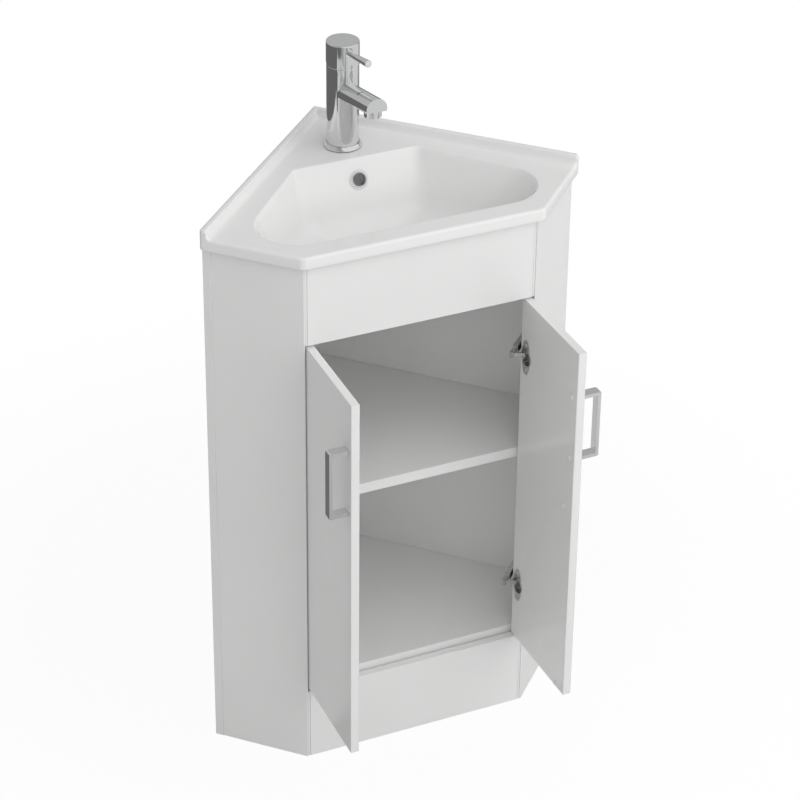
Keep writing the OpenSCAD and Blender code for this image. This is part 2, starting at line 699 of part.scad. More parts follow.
gasket_t = 1;
foot_z = rim_z + gasket_t;
seam_z = rim_z + tap_body_h;
spout_z = rim_z + spout_root_h;
cartridge_d = 35;
cartridge_h = 40;
waterway_d = 11;
stud_d = 6;
stud_deep = 14;       // depth of the stud in the tap's body
inlet_d = 10;
inlet_x = 11;
inlet_depth = 12;
aerator_y = spout_reach - spout_d / 2 + 1;
aerator_low = rim_z + aerator_rise;
aerator_h = 12;
pivot_z = seam_z + 4;
dome_r = 19.4;
dome_gap = 0.4;
seam_gap = 0.3;
carrier_d = 25;
carrier_low = seam_z - 14;
spindle_d = 9;
head_top = seam_z + head_h;
tap_pin_d = 3;
pin_hole_depth = 6;
pin_angle = 11.5;
pin_z = head_top - 10.5;

module at_tap(z) translate([0, deck_y, z]) children();

// The spout's axis: +Z runs forward and up from the body's axis
module along_spout() at_tap(spout_z) rotate([90 - spout_rise, 0, 0]) children();

module tap_body() color(chrome) difference() {
    union() {
        at_tap(foot_z) cylinder(d = tap_body_d, h = seam_z - foot_z, $fn = 96);
        intersection() {
            along_spout() difference() {
                cylinder(d = spout_d, h = 1.3 * spout_reach, $fn = 96);
                translate([-spout_d, -spout_flat - spout_d, -tiny])
                    cube([2 * spout_d, spout_d, 2 * spout_reach]);
            }
            at_tap(spout_z - spout_d) translate([-spout_d, -spout_reach, 0])
                cube([2 * spout_d, spout_reach, 4 * spout_d]);
        }
    }
    // Bore for the cartridge, waterway, aerator seat
    at_tap(seam_z - cartridge_h) cylinder(d = cartridge_d + 2 * snug, h = cartridge_h + tiny);
    along_spout() translate([0, 2, 0]) cylinder(d = waterway_d, h = aerator_y - 2);
    at_tap(aerator_low) translate([0, -aerator_y, 0])
        cylinder(d = aerator_d + 2 * snug, h = aerator_h + snug);
    // Threaded holes for the stud and the two flexible inlets
    at_tap(foot_z - tiny) cylinder(d = stud_d + 2 * snug, h = stud_deep + 2);
    for (s = [-1, 1]) at_tap(foot_z - tiny) translate([s * inlet_x, 0, 0])
        cylinder(d = inlet_d, h = inlet_depth + tiny);
}

module tap_base_ring() color(chrome) at_tap(foot_z) rotate_extrude($fn = 96) polygon([
    [tap_body_d / 2 + snug, 0], [tap_ring_d / 2, 0], [tap_ring_d / 2, 1.5],
    [tap_body_d / 2 + 1.5, tap_ring_h], [tap_body_d / 2 + snug, tap_ring_h]]);

module tap_gasket() color(rubber) at_tap(rim_z) ring(tap_ring_d - 1.5, tap_hole_d - 3, gasket_t);

module tap_aerator() color(chrome) at_tap(aerator_low) translate([0, -aerator_y, 0])
    difference() {
        cylinder(d = aerator_d, h = aerator_h);
        translate([0, 0, -tiny]) cylinder(d = aerator_d - 5, h = 2.5);
        for (r = [3, 6.6], a = [0:60:359]) rotate([0, 0, a + 8 * r]) translate([r, 0, -tiny])
            cylinder(d = 1.8, h = aerator_h + 2 * tiny, $fn = 16);
    }

module tap_cartridge() color([0.9, 0.9, 0.92]) at_tap(seam_z - cartridge_h) difference() {
    cylinder(d = cartridge_d, h = cartridge_h);
    translate([0, 0, carrier_low - seam_gap - seam_z + cartridge_h])
        cylinder(d = carrier_d + 2 * running, h = cartridge_h);
}

// Domed carrier: turns with the head and holds the spindle's pivot pin
module tap_carrier() color(chrome) difference() {
    union() {
        intersection() {
            at_tap(pivot_z) sphere(r = dome_r, $fn = 64);
            at_tap(seam_z + seam_gap) cylinder(r = 2 * dome_r, h = 2 * dome_r);
        }
        at_tap(carrier_low) cylinder(d = carrier_d, h = seam_z + 1 - carrier_low);
    }
    at_tap(carrier_low + 3) translate([-spindle_d / 2 - 0.3, -8, 0])
        cube([spindle_d + 0.6, 8 + 13, 2 * dome_r]);
    at_tap(pivot_z) rotate([0, 90, 0])
        cylinder(d = tap_pin_d + 0.04, h = 3 * dome_r, center = true, $fn = 24);
}

module tap_pivot_pin() color(steel) at_tap(pivot_z) rotate([0, 90, 0])
    cylinder(d = tap_pin_d, h = 24, center = true, $fn = 24);

module tap_spindle() color(steel) difference() {
    at_tap(pivot_z - 9) cylinder(d = spindle_d, h = head_top - 5 - pivot_z + 9);
    at_tap(pivot_z) rotate([0, 90, 0])
        cylinder(d = tap_pin_d + 2 * running, h = 2 * spindle_d, center = true, $fn = 24);
}

module along_pin() at_tap(pin_z) translate([0, -head_d / 2, 0]) rotate([90 - pin_angle, 0, 0])
    children();

module tap_head() color(chrome) difference() {
    at_tap(seam_z + seam_gap) rotate_extrude($fn = 96) {
        square([head_d / 2, head_h - seam_gap - 1.5]);
        square([head_d / 2 - 1.5, head_h - seam_gap]);
        translate([head_d / 2 - 1.5, head_h - seam_gap - 1.5]) circle(r = 1.5, $fn = 32);
    }
    at_tap(pivot_z) sphere(r = dome_r + dome_gap, $fn = 64);
    at_tap(seam_z) cylinder(r = dome_r + dome_gap, h = pivot_z - seam_z);
    at_tap(pivot_z) cylinder(d = spindle_d + 2 * snug, h = head_top - 5 - pivot_z);
    // The rear of the underside rises so that the head can tip back
    at_tap(seam_z + seam_gap) rotate([lever_lift + 2, 0, 0])
        translate([-head_d, 0, -head_h]) cube([2 * head_d, 2 * head_d, head_h]);
    along_pin() translate([0, 0, -pin_hole_depth])
        cylinder(d = pin_root_d + 2 * snug, h = 2 * pin_hole_depth);
    along_pin() translate([0, 0, -1.2]) cylinder(d = pin_root_d + 3, h = 10);
}

module tap_lever_pin() color(chrome) along_pin() {
    translate([0, 0, -pin_hole_depth]) cylinder(d = pin_root_d, h = pin_hole_depth + tiny);
    cylinder(d1 = pin_root_d, d2 = pin_tip_d, h = pin_len - 1);
    translate([0, 0, pin_len - 1]) cylinder(d1 = pin_tip_d, d2 = pin_tip_d - 2, h = 1);
}

washer_t = 2;
pad_t = 2.5;
nut_h = 8;
nut_flats = 10;       // its flats face the inlets, clear of their way in
clamp_z = cabinet_h - pad_t - washer_t;
module tap_stud() color(steel) at_tap(clamp_z - nut_h - 8)
    cylinder(d = stud_d, h = foot_z + stud_deep - clamp_z + nut_h + 8);

// Clamping disc with its rubber pad, pierced for the stud and the two inlets
module tap_clamp_washer() color(rubber) at_tap(clamp_z) difference() {
    cylinder(d = tap_hole_d + 11, h = pad_t + washer_t);
    translate([0, 0, -tiny]) cylinder(d = stud_d + 2 * snug, h = pad_t + washer_t + 1);
    for (s = [-1, 1]) translate([s * inlet_x, 0, -tiny]) cylinder(d = inlet_d + 1, h = 10);
}

module tap_nut() color(steel) at_tap(clamp_z - nut_h) rotate([0, 0, 30])
    hex_nut(nut_flats, stud_d + 2 * snug, nut_h);

// --- nodes ---------------------------------------------------------------------

side_panel(1);  // right_side_panel
side_panel(-1);  // left_side_panel
back_panel(1, 0);  // right_back_panel
back_panel(-1, back_t);  // left_back_panel
base_panel();
shelf();
fascia();
plinth();
wall_rail(1, back_t);  // right_wall_rail
wall_rail(-1, back_t + board_t);  // left_wall_rail
fixing_blocks();
shelf_pegs();
door(-1);  // left_door
door(1);  // right_door
handle(-1);  // left_handle
handle(1);  // right_handle
handle_screws(-1);  // left_handle_screws
handle_screws(1);  // right_handle_screws
door_bumpers(-1);  // left_door_bumpers
door_bumpers(1);  // right_door_bumpers
hinge_cup(-1, hinge_high_z);  // left_upper_hinge_cup
hinge_cup(-1, hinge_low_z);  // left_lower_hinge_cup
hinge_cup(1, hinge_high_z);  // right_upper_hinge_cup
hinge_cup(1, hinge_low_z);  // right_lower_hinge_cup
hinge_arm(-1, hinge_high_z);  // left_upper_hinge_arm
hinge_arm(-1, hinge_low_z);  // left_lower_hinge_arm
hinge_arm(1, hinge_high_z);  // right_upper_hinge_arm
hinge_arm(1, hinge_low_z);  // right_lower_hinge_arm
hinge_link(-1, hinge_high_z);  // left_upper_hinge_link
hinge_link(-1, hinge_low_z);  // left_lower_hinge_link
hinge_link(1, hinge_high_z);  // right_upper_hinge_link
hinge_link(1, hinge_low_z);  // right_lower_hinge_link
hinge_plates();
hinge_plate_screws();
hinge_arm_screws();
hinge_arm_pins();
cup_pins(-1);  // left_cup_pins
cup_pins(1);  // right_cup_pins
cup_screws(-1);  // left_cup_screws
cup_screws(1);  // right_cup_screws
basin();
overflow_ring();
waste_body();
waste_upper_seal();
waste_lower_seal();
waste_backnut();
waste_plug();
tap_body();
tap_base_ring();
tap_gasket();
tap_aerator();
tap_cartridge();
tap_carrier();
tap_pivot_pin();
tap_spindle();
tap_head();
tap_lever_pin();
tap_stud();
tap_clamp_washer();
tap_nut();
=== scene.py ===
"""Corner vanity unit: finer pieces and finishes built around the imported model."""

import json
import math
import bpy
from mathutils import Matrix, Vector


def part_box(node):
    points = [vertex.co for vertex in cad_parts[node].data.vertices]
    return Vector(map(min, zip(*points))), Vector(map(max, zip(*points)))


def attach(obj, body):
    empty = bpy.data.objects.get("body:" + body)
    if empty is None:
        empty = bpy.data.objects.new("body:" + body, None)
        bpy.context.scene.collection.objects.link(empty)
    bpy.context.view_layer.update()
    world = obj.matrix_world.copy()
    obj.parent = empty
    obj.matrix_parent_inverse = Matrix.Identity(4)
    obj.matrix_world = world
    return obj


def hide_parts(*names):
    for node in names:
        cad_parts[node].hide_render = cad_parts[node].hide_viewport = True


bl_info = {
    "name": "Corner Vanity Unit",
    "version": (1, 0, 0),
    "blender": (4, 5, 0),
    "location": "View3D > Sidebar > Vanity",
    "description": "Builds a corner basin cabinet with its tap, doors and hinges",
    "category": "Add Mesh",
}

import bmesh
import bpy
from bpy.props import FloatProperty, FloatVectorProperty, IntProperty, PointerProperty
from mathutils import Matrix, Vector
from mathutils.geometry import delaunay_2d_cdt

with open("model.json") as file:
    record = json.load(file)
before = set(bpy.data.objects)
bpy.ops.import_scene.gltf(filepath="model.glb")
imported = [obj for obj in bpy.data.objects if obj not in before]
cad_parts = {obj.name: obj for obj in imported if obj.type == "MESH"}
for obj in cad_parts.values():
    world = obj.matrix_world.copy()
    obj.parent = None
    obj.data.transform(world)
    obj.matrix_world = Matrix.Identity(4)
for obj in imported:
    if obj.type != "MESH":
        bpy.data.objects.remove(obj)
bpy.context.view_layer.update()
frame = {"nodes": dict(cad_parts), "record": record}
BODY_OF = {
    node: body
    for body, nodes in frame["record"]["behaviour"]["bodies"].items()
    for node in nodes
}
SLOT_OF = {row["node"]: row["material_slot"] for row in frame["record"]["subparts"]}
MM = 0.001
BASIN_LOW, BASIN_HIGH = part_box("basin")
CABINET_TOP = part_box("fascia")[1].z

# Vertices closer than MERGE become one; a cut snaps to vertices closer than SNAP
MERGE = 0.002 * MM
SNAP = 1e-7
# Angles in degrees from which an edge shades hard, and from which one is rounded
HARD, HARD_TURNED, HARD_BOARD, HARD_GLAZED = 38.0, 32.0, 30.0, 40.0
SHARP = 50.0


# --- settings ------------------------------------------------------------------


class VanityFinishSettings(bpy.types.PropertyGroup):
    lacquer: FloatVectorProperty(
        name="Lacquer", description="Colour of the gloss fronts", subtype="COLOR",
        size=4, min=0, max=1, default=(0.87, 0.87, 0.865, 1))
    melamine: FloatVectorProperty(
        name="Melamine", description="Colour of the satin boards", subtype="COLOR",
        size=4, min=0, max=1, default=(0.87, 0.87, 0.865, 1))
    glaze: FloatVectorProperty(
        name="Glaze", description="Colour of the ceramic basin", subtype="COLOR",
        size=4, min=0, max=1, default=(0.9, 0.9, 0.895, 1))
    chrome: FloatVectorProperty(
        name="Chrome", description="Colour of the polished metal", subtype="COLOR",
        size=4, min=0, max=1, default=(0.78, 0.785, 0.79, 1))
    nickel: FloatVectorProperty(
        name="Nickel", description="Colour of the hinges and screws", subtype="COLOR",
        size=4, min=0, max=1, default=(0.72, 0.715, 0.7, 1))
    gloss: FloatProperty(
        name="Lacquer roughness", description="Lowest roughness of the fronts",
        subtype="FACTOR", min=0, max=1, default=0.16)


class VanityEdgeSettings(bpy.types.PropertyGroup):
    board: FloatProperty(
        name="Board edge", description="Rounding of the boards' long edges",
        unit="LENGTH", min=0.0001, max=0.003, default=0.7 * MM)
    handle: FloatProperty(
        name="Handle edge", description="Rounding of the handles' edges",
        unit="LENGTH", min=0.0001, max=0.003, default=0.6 * MM)
    fitting: FloatProperty(
        name="Hinge edge", description="Rounding of the stamped hinge parts",
        unit="LENGTH", min=0.00005, max=0.001, default=0.2 * MM)
    tap: FloatProperty(
        name="Tap edge", description="Rounding of the tap's turned edges",
        unit="LENGTH", min=0.0001, max=0.003, default=0.4 * MM)
    seam: FloatProperty(
        name="Seam", description="Easing of the tap body's edge under its head",
        unit="LENGTH", min=0.0001, max=0.002, default=1.2 * MM)


class VanityBasinSettings(bpy.types.PropertyGroup):
    rim_round: FloatProperty(
        name="Rim rounding", description="Radius along the top edge of the rim",
        unit="LENGTH", min=0.001, max=0.008, default=4 * MM)
    under_round: FloatProperty(
        name="Underside rounding", description="Radius along the rim's lower edge",
        unit="LENGTH", min=0.001, max=0.006, default=2.5 * MM)
    rim_thick: FloatProperty(
        name="Rim thickness", description="Height of the rim above the cabinet",
        unit="LENGTH", min=0.01, max=0.04, default=18 * MM)
    front_corner: FloatProperty(
        name="Front corner", description="Radius in plan of the two front corners",
        unit="LENGTH", min=0.006, max=0.04, default=14 * MM)
    wall_corner: FloatProperty(
        name="Wall corner", description="Radius in plan of the corners at the walls",
        unit="LENGTH", min=0.0052, max=0.02, default=5.3 * MM)
    upstand_thick: FloatProperty(
        name="Upstand thickness", description="Depth of the raised edge at the walls",
        unit="LENGTH", min=0.006, max=0.03, default=10 * MM)
    cove: FloatProperty(
        name="Cove", description="Radius where the upstand meets the deck",
        unit="LENGTH", min=0.002, max=0.01, default=8 * MM)
    corner_steps: IntProperty(
        name="Corner steps", description="Facets round each corner of the bowl",
        min=4, max=24, default=14)
    smoothing: IntProperty(
        name="Row smoothing", description="Times the bowl's rows are cut finer",
        min=1, max=4, default=3)


class VanityStageSettings(bpy.types.PropertyGroup):
    key_power: FloatProperty(
        name="Key light", description="Power of the large soft light",
        unit="POWER", min=0, max=500, default=62)
    fill_power: FloatProperty(
        name="Fill light", description="Power of the weak light in front",
        unit="POWER", min=0, max=500, default=31)
    room_level: FloatProperty(
        name="Room light", description="Strength of the even light all round",
        min=0, max=2, default=0.43)
    floor: FloatVectorProperty(
        name="Floor", description="Colour of the floor", subtype="COLOR",
        size=4, min=0, max=1, default=(0.9, 0.9, 0.9, 1))


GROUPS = {
    "vanity_finish": VanityFinishSettings,
    "vanity_edges": VanityEdgeSettings,
    "vanity_basin": VanityBasinSettings,
    "vanity_stage": VanityStageSettings,
}


def settings(name):
    return getattr(bpy.context.scene, name)


# --- finishes ------------------------------------------------------------------


class Nodes:
    """The nodes of a material or of the world under construction."""

    def __init__(self, owner):
        owner.use_nodes = True
        self.tree = owner.node_tree

    def node(self, kind, **values):
        made = self.tree.nodes.new(kind)
        for name, value in values.items():
            if name in made.inputs:
                made.inputs[name].default_value = value
            else:
                setattr(made, name, value)
        return made

    def join(self, start, end):
        self.tree.links.new(start, end)

    def ranged(self, value, start, end, low, high):
        """Turns values from start to end into values from low to high."""
        made = self.node("ShaderNodeMapRange", **{
            "From Min": start, "From Max": end, "To Min": low, "To Max": high})
        self.join(value, made.inputs["Value"])
        return made.outputs["Result"]

    def ramp(self, value, stops):
        """Blends (position, colour) stops along a value."""
        made = self.node("ShaderNodeValToRGB")
        elements = made.color_ramp.elements
        while len(elements) < len(stops):
            elements.new(0.5)
        for element, (position, colour) in zip(elements, stops):
            element.position = position
            element.color = colour
        self.join(value, made.inputs["Fac"])
        return made.outputs["Color"]

    def along(self, place, direction):
        """How far a place lies along a direction."""
        made = self.node("ShaderNodeVectorMath", operation="DOT_PRODUCT")
        made.inputs[1].default_value = direction
        self.join(place, made.inputs[0])
        return made.outputs["Value"]

    def light_seen(self):
        """One for rays of the camera and for those that mirror or pass glass, else nought."""
        path = self.node("ShaderNodeLightPath")
        seen = path.outputs["Is Camera Ray"]
        for ray in ("Is Glossy Ray", "Is Transmission Ray"):
            both = self.node("ShaderNodeMath", operation="ADD", use_clamp=True)
            self.join(seen, both.inputs[0])
            self.join(path.outputs[ray], both.inputs[1])
            seen = both.outputs[0]
        return seen

    def mixed(self, share, plain, seen, output):
        """Puts out one shader, and the other for the given share."""
        mix = self.node("ShaderNodeMixShader")
        out = self.node(output)
        self.join(share, mix.inputs["Fac"])
        self.join(plain.outputs[0], mix.inputs[1])
        self.join(seen.outputs[0], mix.inputs[2])
        self.join(mix.outputs[0], out.inputs["Surface"])


class Finish(Nodes):
    """A procedural material under construction, on Object coordinates."""

    def __init__(self, name, colour, roughness, metallic=0.0):
        self.material = bpy.data.materials.new(name)
        super().__init__(self.material)
        self.shader = self.tree.nodes["Principled BSDF"]
        self.put({"Base Color": colour, "Roughness": roughness, "Metallic": metallic})
        self.material.diffuse_color = colour
        self.place = self.node("ShaderNodeTexCoord").outputs["Object"]
        self.normal = None

    def put(self, values):
        for socket, value in values.items():
            self.shader.inputs[socket].default_value = value

    def stretched(self, scale):
        """Object coordinates stretched for a grain that has a direction."""
        mapping = self.node("ShaderNodeMapping", Scale=scale)
        self.join(self.place, mapping.inputs["Vector"])
        return mapping.outputs["Vector"]

    def noise(self, scale, detail, place=None):
        made = self.node("ShaderNodeTexNoise", Scale=scale, Detail=detail)
        self.join(place or self.place, made.inputs["Vector"])
        return made.outputs["Fac"]

    def cells(self, scale, output="Distance"):
        made = self.node("ShaderNodeTexVoronoi", Scale=scale)
        self.join(self.place, made.inputs["Vector"])
        return made.outputs[output]

    def rough(self, value, low, high):
        """Lets the middle of a pattern sweep the roughness from low to high."""
        self.join(self.ranged(value, 0.3, 0.7, low, high), self.shader.inputs["Roughness"])

    def tint(self, value, *stops):
        self.join(self.ramp(value, stops), self.shader.inputs["Base Color"])

    def relief(self, value, depth, strength):
        """Adds a bump of the given depth in metres on top of any made before."""
        bump = self.node("ShaderNodeBump", Strength=strength, Distance=depth)
        self.join(value, bump.inputs["Height"])
        if self.normal:
            self.join(self.normal, bump.inputs["Normal"])
        self.normal = bump.outputs["Normal"]
        self.join(self.normal, self.shader.inputs["Normal"])


def shade(colour, factor):
    return (colour[0] * factor, colour[1] * factor, colour[2] * factor, 1.0)


def front_white():
    look, colour = settings("vanity_finish"), settings("vanity_finish").lacquer
    made = Finish("gloss_lacquer", colour, look.gloss)
    made.tint(made.noise(7.0, 2.0), (0.35, shade(colour, 0.985)), (0.65, colour))
    made.rough(made.noise(22.0, 4.0), look.gloss, look.gloss + 0.07)
    made.relief(made.noise(420.0, 2.0), 0.02 * MM, 0.5)
    made.relief(made.noise(60.0, 1.0), 0.06 * MM, 0.25)
    made.put({"Coat Weight": 0.35, "Coat Roughness": 0.06})
    return made


def panel_white():
    colour = settings("vanity_finish").melamine
    made = Finish("satin_melamine", colour, 0.42)
    made.tint(made.noise(5.0, 3.0), (0.35, shade(colour, 0.98)), (0.65, colour))
    made.rough(made.noise(900.0, 2.0), 0.36, 0.48)
    made.relief(made.cells(1500.0), 0.01 * MM, 0.6)
    made.relief(made.noise(140.0, 2.0), 0.02 * MM, 0.3)
    made.put({"Specular IOR Level": 0.45})
    return made


def edge_band():
    colour = settings("vanity_finish").melamine
    made = Finish("edge_band", colour, 0.3)
    fine = made.stretched((1.0, 1.0, 0.06))
    made.tint(made.noise(12.0, 2.0), (0.3, shade(colour, 0.975)), (0.7, colour))
    made.rough(made.noise(600.0, 2.0, place=fine), 0.29, 0.35)
    made.relief(made.noise(700.0, 2.0, place=fine), 0.01 * MM, 0.2)
    return made


def chipboard():
    made = Finish("raw_chipboard", (0.5, 0.36, 0.22, 1), 0.85)
    made.tint(made.cells(420.0, output="Color"), (0.1, (0.3, 0.2, 0.11, 1)),
              (0.5, (0.52, 0.38, 0.24, 1)), (0.9, (0.66, 0.52, 0.36, 1)))
    made.rough(made.noise(300.0, 3.0), 0.75, 0.95)
    made.relief(made.cells(420.0), 0.4 * MM, 0.8)
    return made


def ceramic():
    colour = settings("vanity_finish").glaze
    made = Finish("ceramic_glaze", colour, 0.08)
    made.tint(made.noise(9.0, 2.0), (0.35, shade(colour, 0.985)), (0.65, colour))
    made.rough(made.noise(40.0, 3.0), 0.05, 0.11)
    made.relief(made.noise(16.0, 1.5), 0.4 * MM, 0.12)
    made.relief(made.noise(380.0, 1.0), 0.01 * MM, 0.35)
    made.put({"IOR": 1.52, "Coat Weight": 0.25, "Coat Roughness": 0.05})
    return made


def chrome():
    colour = settings("vanity_finish").chrome
    made = Finish("polished_chrome", colour, 0.05, 1.0)
    made.tint(made.noise(30.0, 2.0), (0.3, shade(colour, 0.97)), (0.7, colour))
    made.rough(made.noise(260.0, 4.0), 0.035, 0.085)
    made.relief(made.noise(90.0, 1.0), 0.02 * MM, 0.1)
    made.relief(made.noise(2500.0, 2.0), 0.002 * MM, 0.3)
    return made


def hinge_steel():
    colour = settings("vanity_finish").nickel
    made = Finish("nickel_steel", colour, 0.22, 1.0)
    brushed = made.stretched((1.0, 1.0, 14.0))
    made.tint(made.noise(160.0, 3.0), (0.3, shade(colour, 0.88)), (0.7, colour))
    made.rough(made.noise(260.0, 4.0, place=brushed), 0.2, 0.36)
    made.relief(made.noise(420.0, 3.0, place=brushed), 0.01 * MM, 0.5)
    return made


def rubber():
    made = Finish("black_rubber", (0.028, 0.028, 0.03, 1), 0.7)
    made.rough(made.noise(500.0, 3.0), 0.6, 0.82)
    made.relief(made.noise(1400.0, 2.0), 0.03 * MM, 0.6)
    return made


def bumper_clear():
    made = Finish("clear_bumper", (0.86, 0.86, 0.85, 1), 0.32)
    made.rough(made.noise(500.0, 2.0), 0.25, 0.4)
    made.relief(made.noise(900.0, 2.0), 0.01 * MM, 0.5)
    return made


def cartridge_plastic():
    made = Finish("cartridge_plastic", (0.72, 0.71, 0.68, 1), 0.4)
    made.rough(made.noise(300.0, 2.0), 0.34, 0.48)
    made.relief(made.noise(1200.0, 2.0), 0.01 * MM, 0.5)
    return made


def brass():
    made = Finish("turned_brass", (0.72, 0.51, 0.24, 1), 0.25, 1.0)
    rings = made.stretched((1.0, 1.0, 12.0))
    made.tint(made.noise(120.0, 2.0), (0.3, (0.6, 0.41, 0.18, 1)), (0.7, (0.74, 0.53, 0.26, 1)))
    made.rough(made.noise(300.0, 3.0, place=rings), 0.2, 0.34)
    made.relief(made.noise(500.0, 2.0, place=rings), 0.01 * MM, 0.5)
    return made


MAKERS = {made.__name__: made for made in (
    front_white, panel_white, edge_band, chipboard, ceramic, chrome, hinge_steel, rubber,
    bumper_clear, cartridge_plastic, brass)}
_made = {}


def finish(slot):
    if slot not in _made:
        _made[slot] = MAKERS[slot]().material
    return _made[slot]


# --- mesh helpers --------------------------------------------------------------


def linked(name, data):
    made = bpy.data.objects.new(name, data)
    bpy.context.scene.collection.objects.link(made)
    return made


def mesh_of(name, bm):
    """Turns a bmesh into a mesh and frees it."""
    mesh = bpy.data.meshes.new(name)
    bm.to_mesh(mesh)
    bm.free()
    return mesh


def placed(name, bm, slots, body, replaced=(), hard=HARD):
    """Turns a bmesh into a finished piece that rides on a body and stands for CAD nodes."""
    bmesh.ops.recalc_face_normals(bm, faces=bm.faces)
    mesh = mesh_of(name, bm)
    for slot in slots:
        mesh.materials.append(finish(slot))
    mesh.shade_smooth()
    mesh.set_sharp_from_angle(angle=math.radians(hard))
    piece = linked(name, mesh)
    even = piece.modifiers.new("even_faces", "WEIGHTED_NORMAL")
    even.mode = "FACE_AREA"
    even.keep_sharp = True
    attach(piece, body)
    if replaced:
        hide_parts(*replaced)


def fine_piece(node, bm, slots=None, hard=HARD):
    """A finished piece in the place of one CAD node."""
    placed("fine_" + node, bm, slots or [SLOT_OF[node]], BODY_OF[node], [node], hard)


def merged_copy(node):
    """A CAD node's mesh as clean flat faces in a new bmesh."""
    bm = bmesh.new()
    bm.from_mesh(frame["nodes"][node].data)
    bmesh.ops.remove_doubles(bm, verts=bm.verts, dist=MERGE)
    bmesh.ops.dissolve_limit(
        bm, angle_limit=math.radians(0.4), verts=bm.verts, edges=bm.edges)
    return bm


def bevelled(bm, geom, offset, segments, affect="EDGES", clamp=True):
    bmesh.ops.bevel(bm, geom=geom, offset=offset, offset_type="OFFSET", segments=segments,
                    profile=0.5, affect=affect, material=-1, clamp_overlap=clamp)


def rounded_edges(bm, radius, shortest, segments=2):
    """Bevels the edges that are long and sharp enough."""
    edges = [
        e for e in bm.edges
        if len(e.link_faces) == 2 and e.calc_length() > shortest
        and e.calc_face_angle(0.0) > math.radians(SHARP)
    ]
    if edges:
        bevelled(bm, edges, radius, segments)
        bmesh.ops.remove_doubles(bm, verts=bm.verts, dist=MERGE)


def worked_copy(node, radius=0.0, shortest=0.0, hard=HARD, slots=None):
    """A piece with a CAD node's shape, its edges rounded and its turned faces smooth."""
    bm = merged_copy(node)
    if radius:
        rounded_edges(bm, radius, shortest)
    fine_piece(node, bm, slots, hard)


def board(node, raw=(), banded=True, slot="panel_white", shortest=40 * MM):
    """A board with eased long edges, banded edge faces and raw core at hidden edges."""
    bm = merged_copy(node)
    rounded_edges(bm, settings("vanity_edges").board, shortest)
    face = max(bm.faces, key=lambda f: f.calc_area())
    flat = face.normal.copy()
    for f in bm.faces:
        if banded and abs(f.normal.dot(flat)) < 0.35:
            f.material_index = 1
            if any(f.normal.dot(Vector(way).normalized()) > 0.8 for way in raw):
                f.material_index = 2
    slots = [slot, "edge_band", "chipboard"] if banded else [slot]
    fine_piece(node, bm, slots, HARD_BOARD)


def verts_of(parts):
    """The vertices of some faces or edges, each once."""
    return list(dict.fromkeys(v for part in parts for v in part.verts))


def linked_groups(parts, neighbours):
    """Sorts parts into groups that hang together, by what each one touches."""
    left, found = dict.fromkeys(parts), []
    while left:
        start = next(iter(left))
        del left[start]
        group, queue = [start], [start]
        while queue:
            for part in neighbours(queue.pop()):
                if part in left:
                    del left[part]
                    group.append(part)
                    queue.append(part)
        found.append(group)
    return found


def sliced(bm, faces, point, normal):
    """Cuts some faces with a plane."""
    geom = [*faces, *(e for f in faces for e in f.edges), *verts_of(faces)]
    bmesh.ops.bisect_plane(bm, geom=list(dict.fromkeys(geom)), dist=SNAP,
                           plane_co=point, plane_no=normal)


def screw_facts(faces):
    """Head centre, outward axis and sizes of one plain CAD screw."""
    cap = max(faces, key=lambda f: f.calc_area())
    axis = cap.normal.copy()
    centre = cap.calc_center_bounds()
    points = [((centre - v.co).dot(axis), v.co) for v in verts_of(faces)]
    length = max(depth for depth, _ in points)

    def radius(depth, co):
        return (co - (centre - axis * depth)).length

    head_r = max(radius(d, co) for d, co in points if d < 0.01 * MM)
    head_h = max(d for d, co in points if radius(d, co) > 0.95 * head_r)
    shank_r = max(radius(d, co) for d, co in points if d > length - 0.01 * MM)
    return centre, axis, head_r, head_h, shank_r, length


def spun(bm, profile, steps):
    """Spins a profile of (radius, height) pairs round Z into a turned shape."""
    verts = [bm.verts.new((r, 0, z)) for r, z in profile]
    edges = [bm.edges.new(pair) for pair in zip(verts, verts[1:])]
    bmesh.ops.spin(
        bm, geom=verts + edges, cent=(0, 0, 0), axis=(0, 0, 1), dvec=(0, 0, 0),
        angle=math.tau, steps=steps, use_merge=True, use_normal_flip=False, use_duplicate=False)
    bmesh.ops.remove_doubles(bm, verts=bm.verts, dist=MERGE)


def facing(place, way, axis="Z"):
    """Puts a thing in a place, one of its axes along a direction."""
    return Matrix.Translation(place) @ way.to_track_quat(axis, "Y").to_matrix().to_4x4()


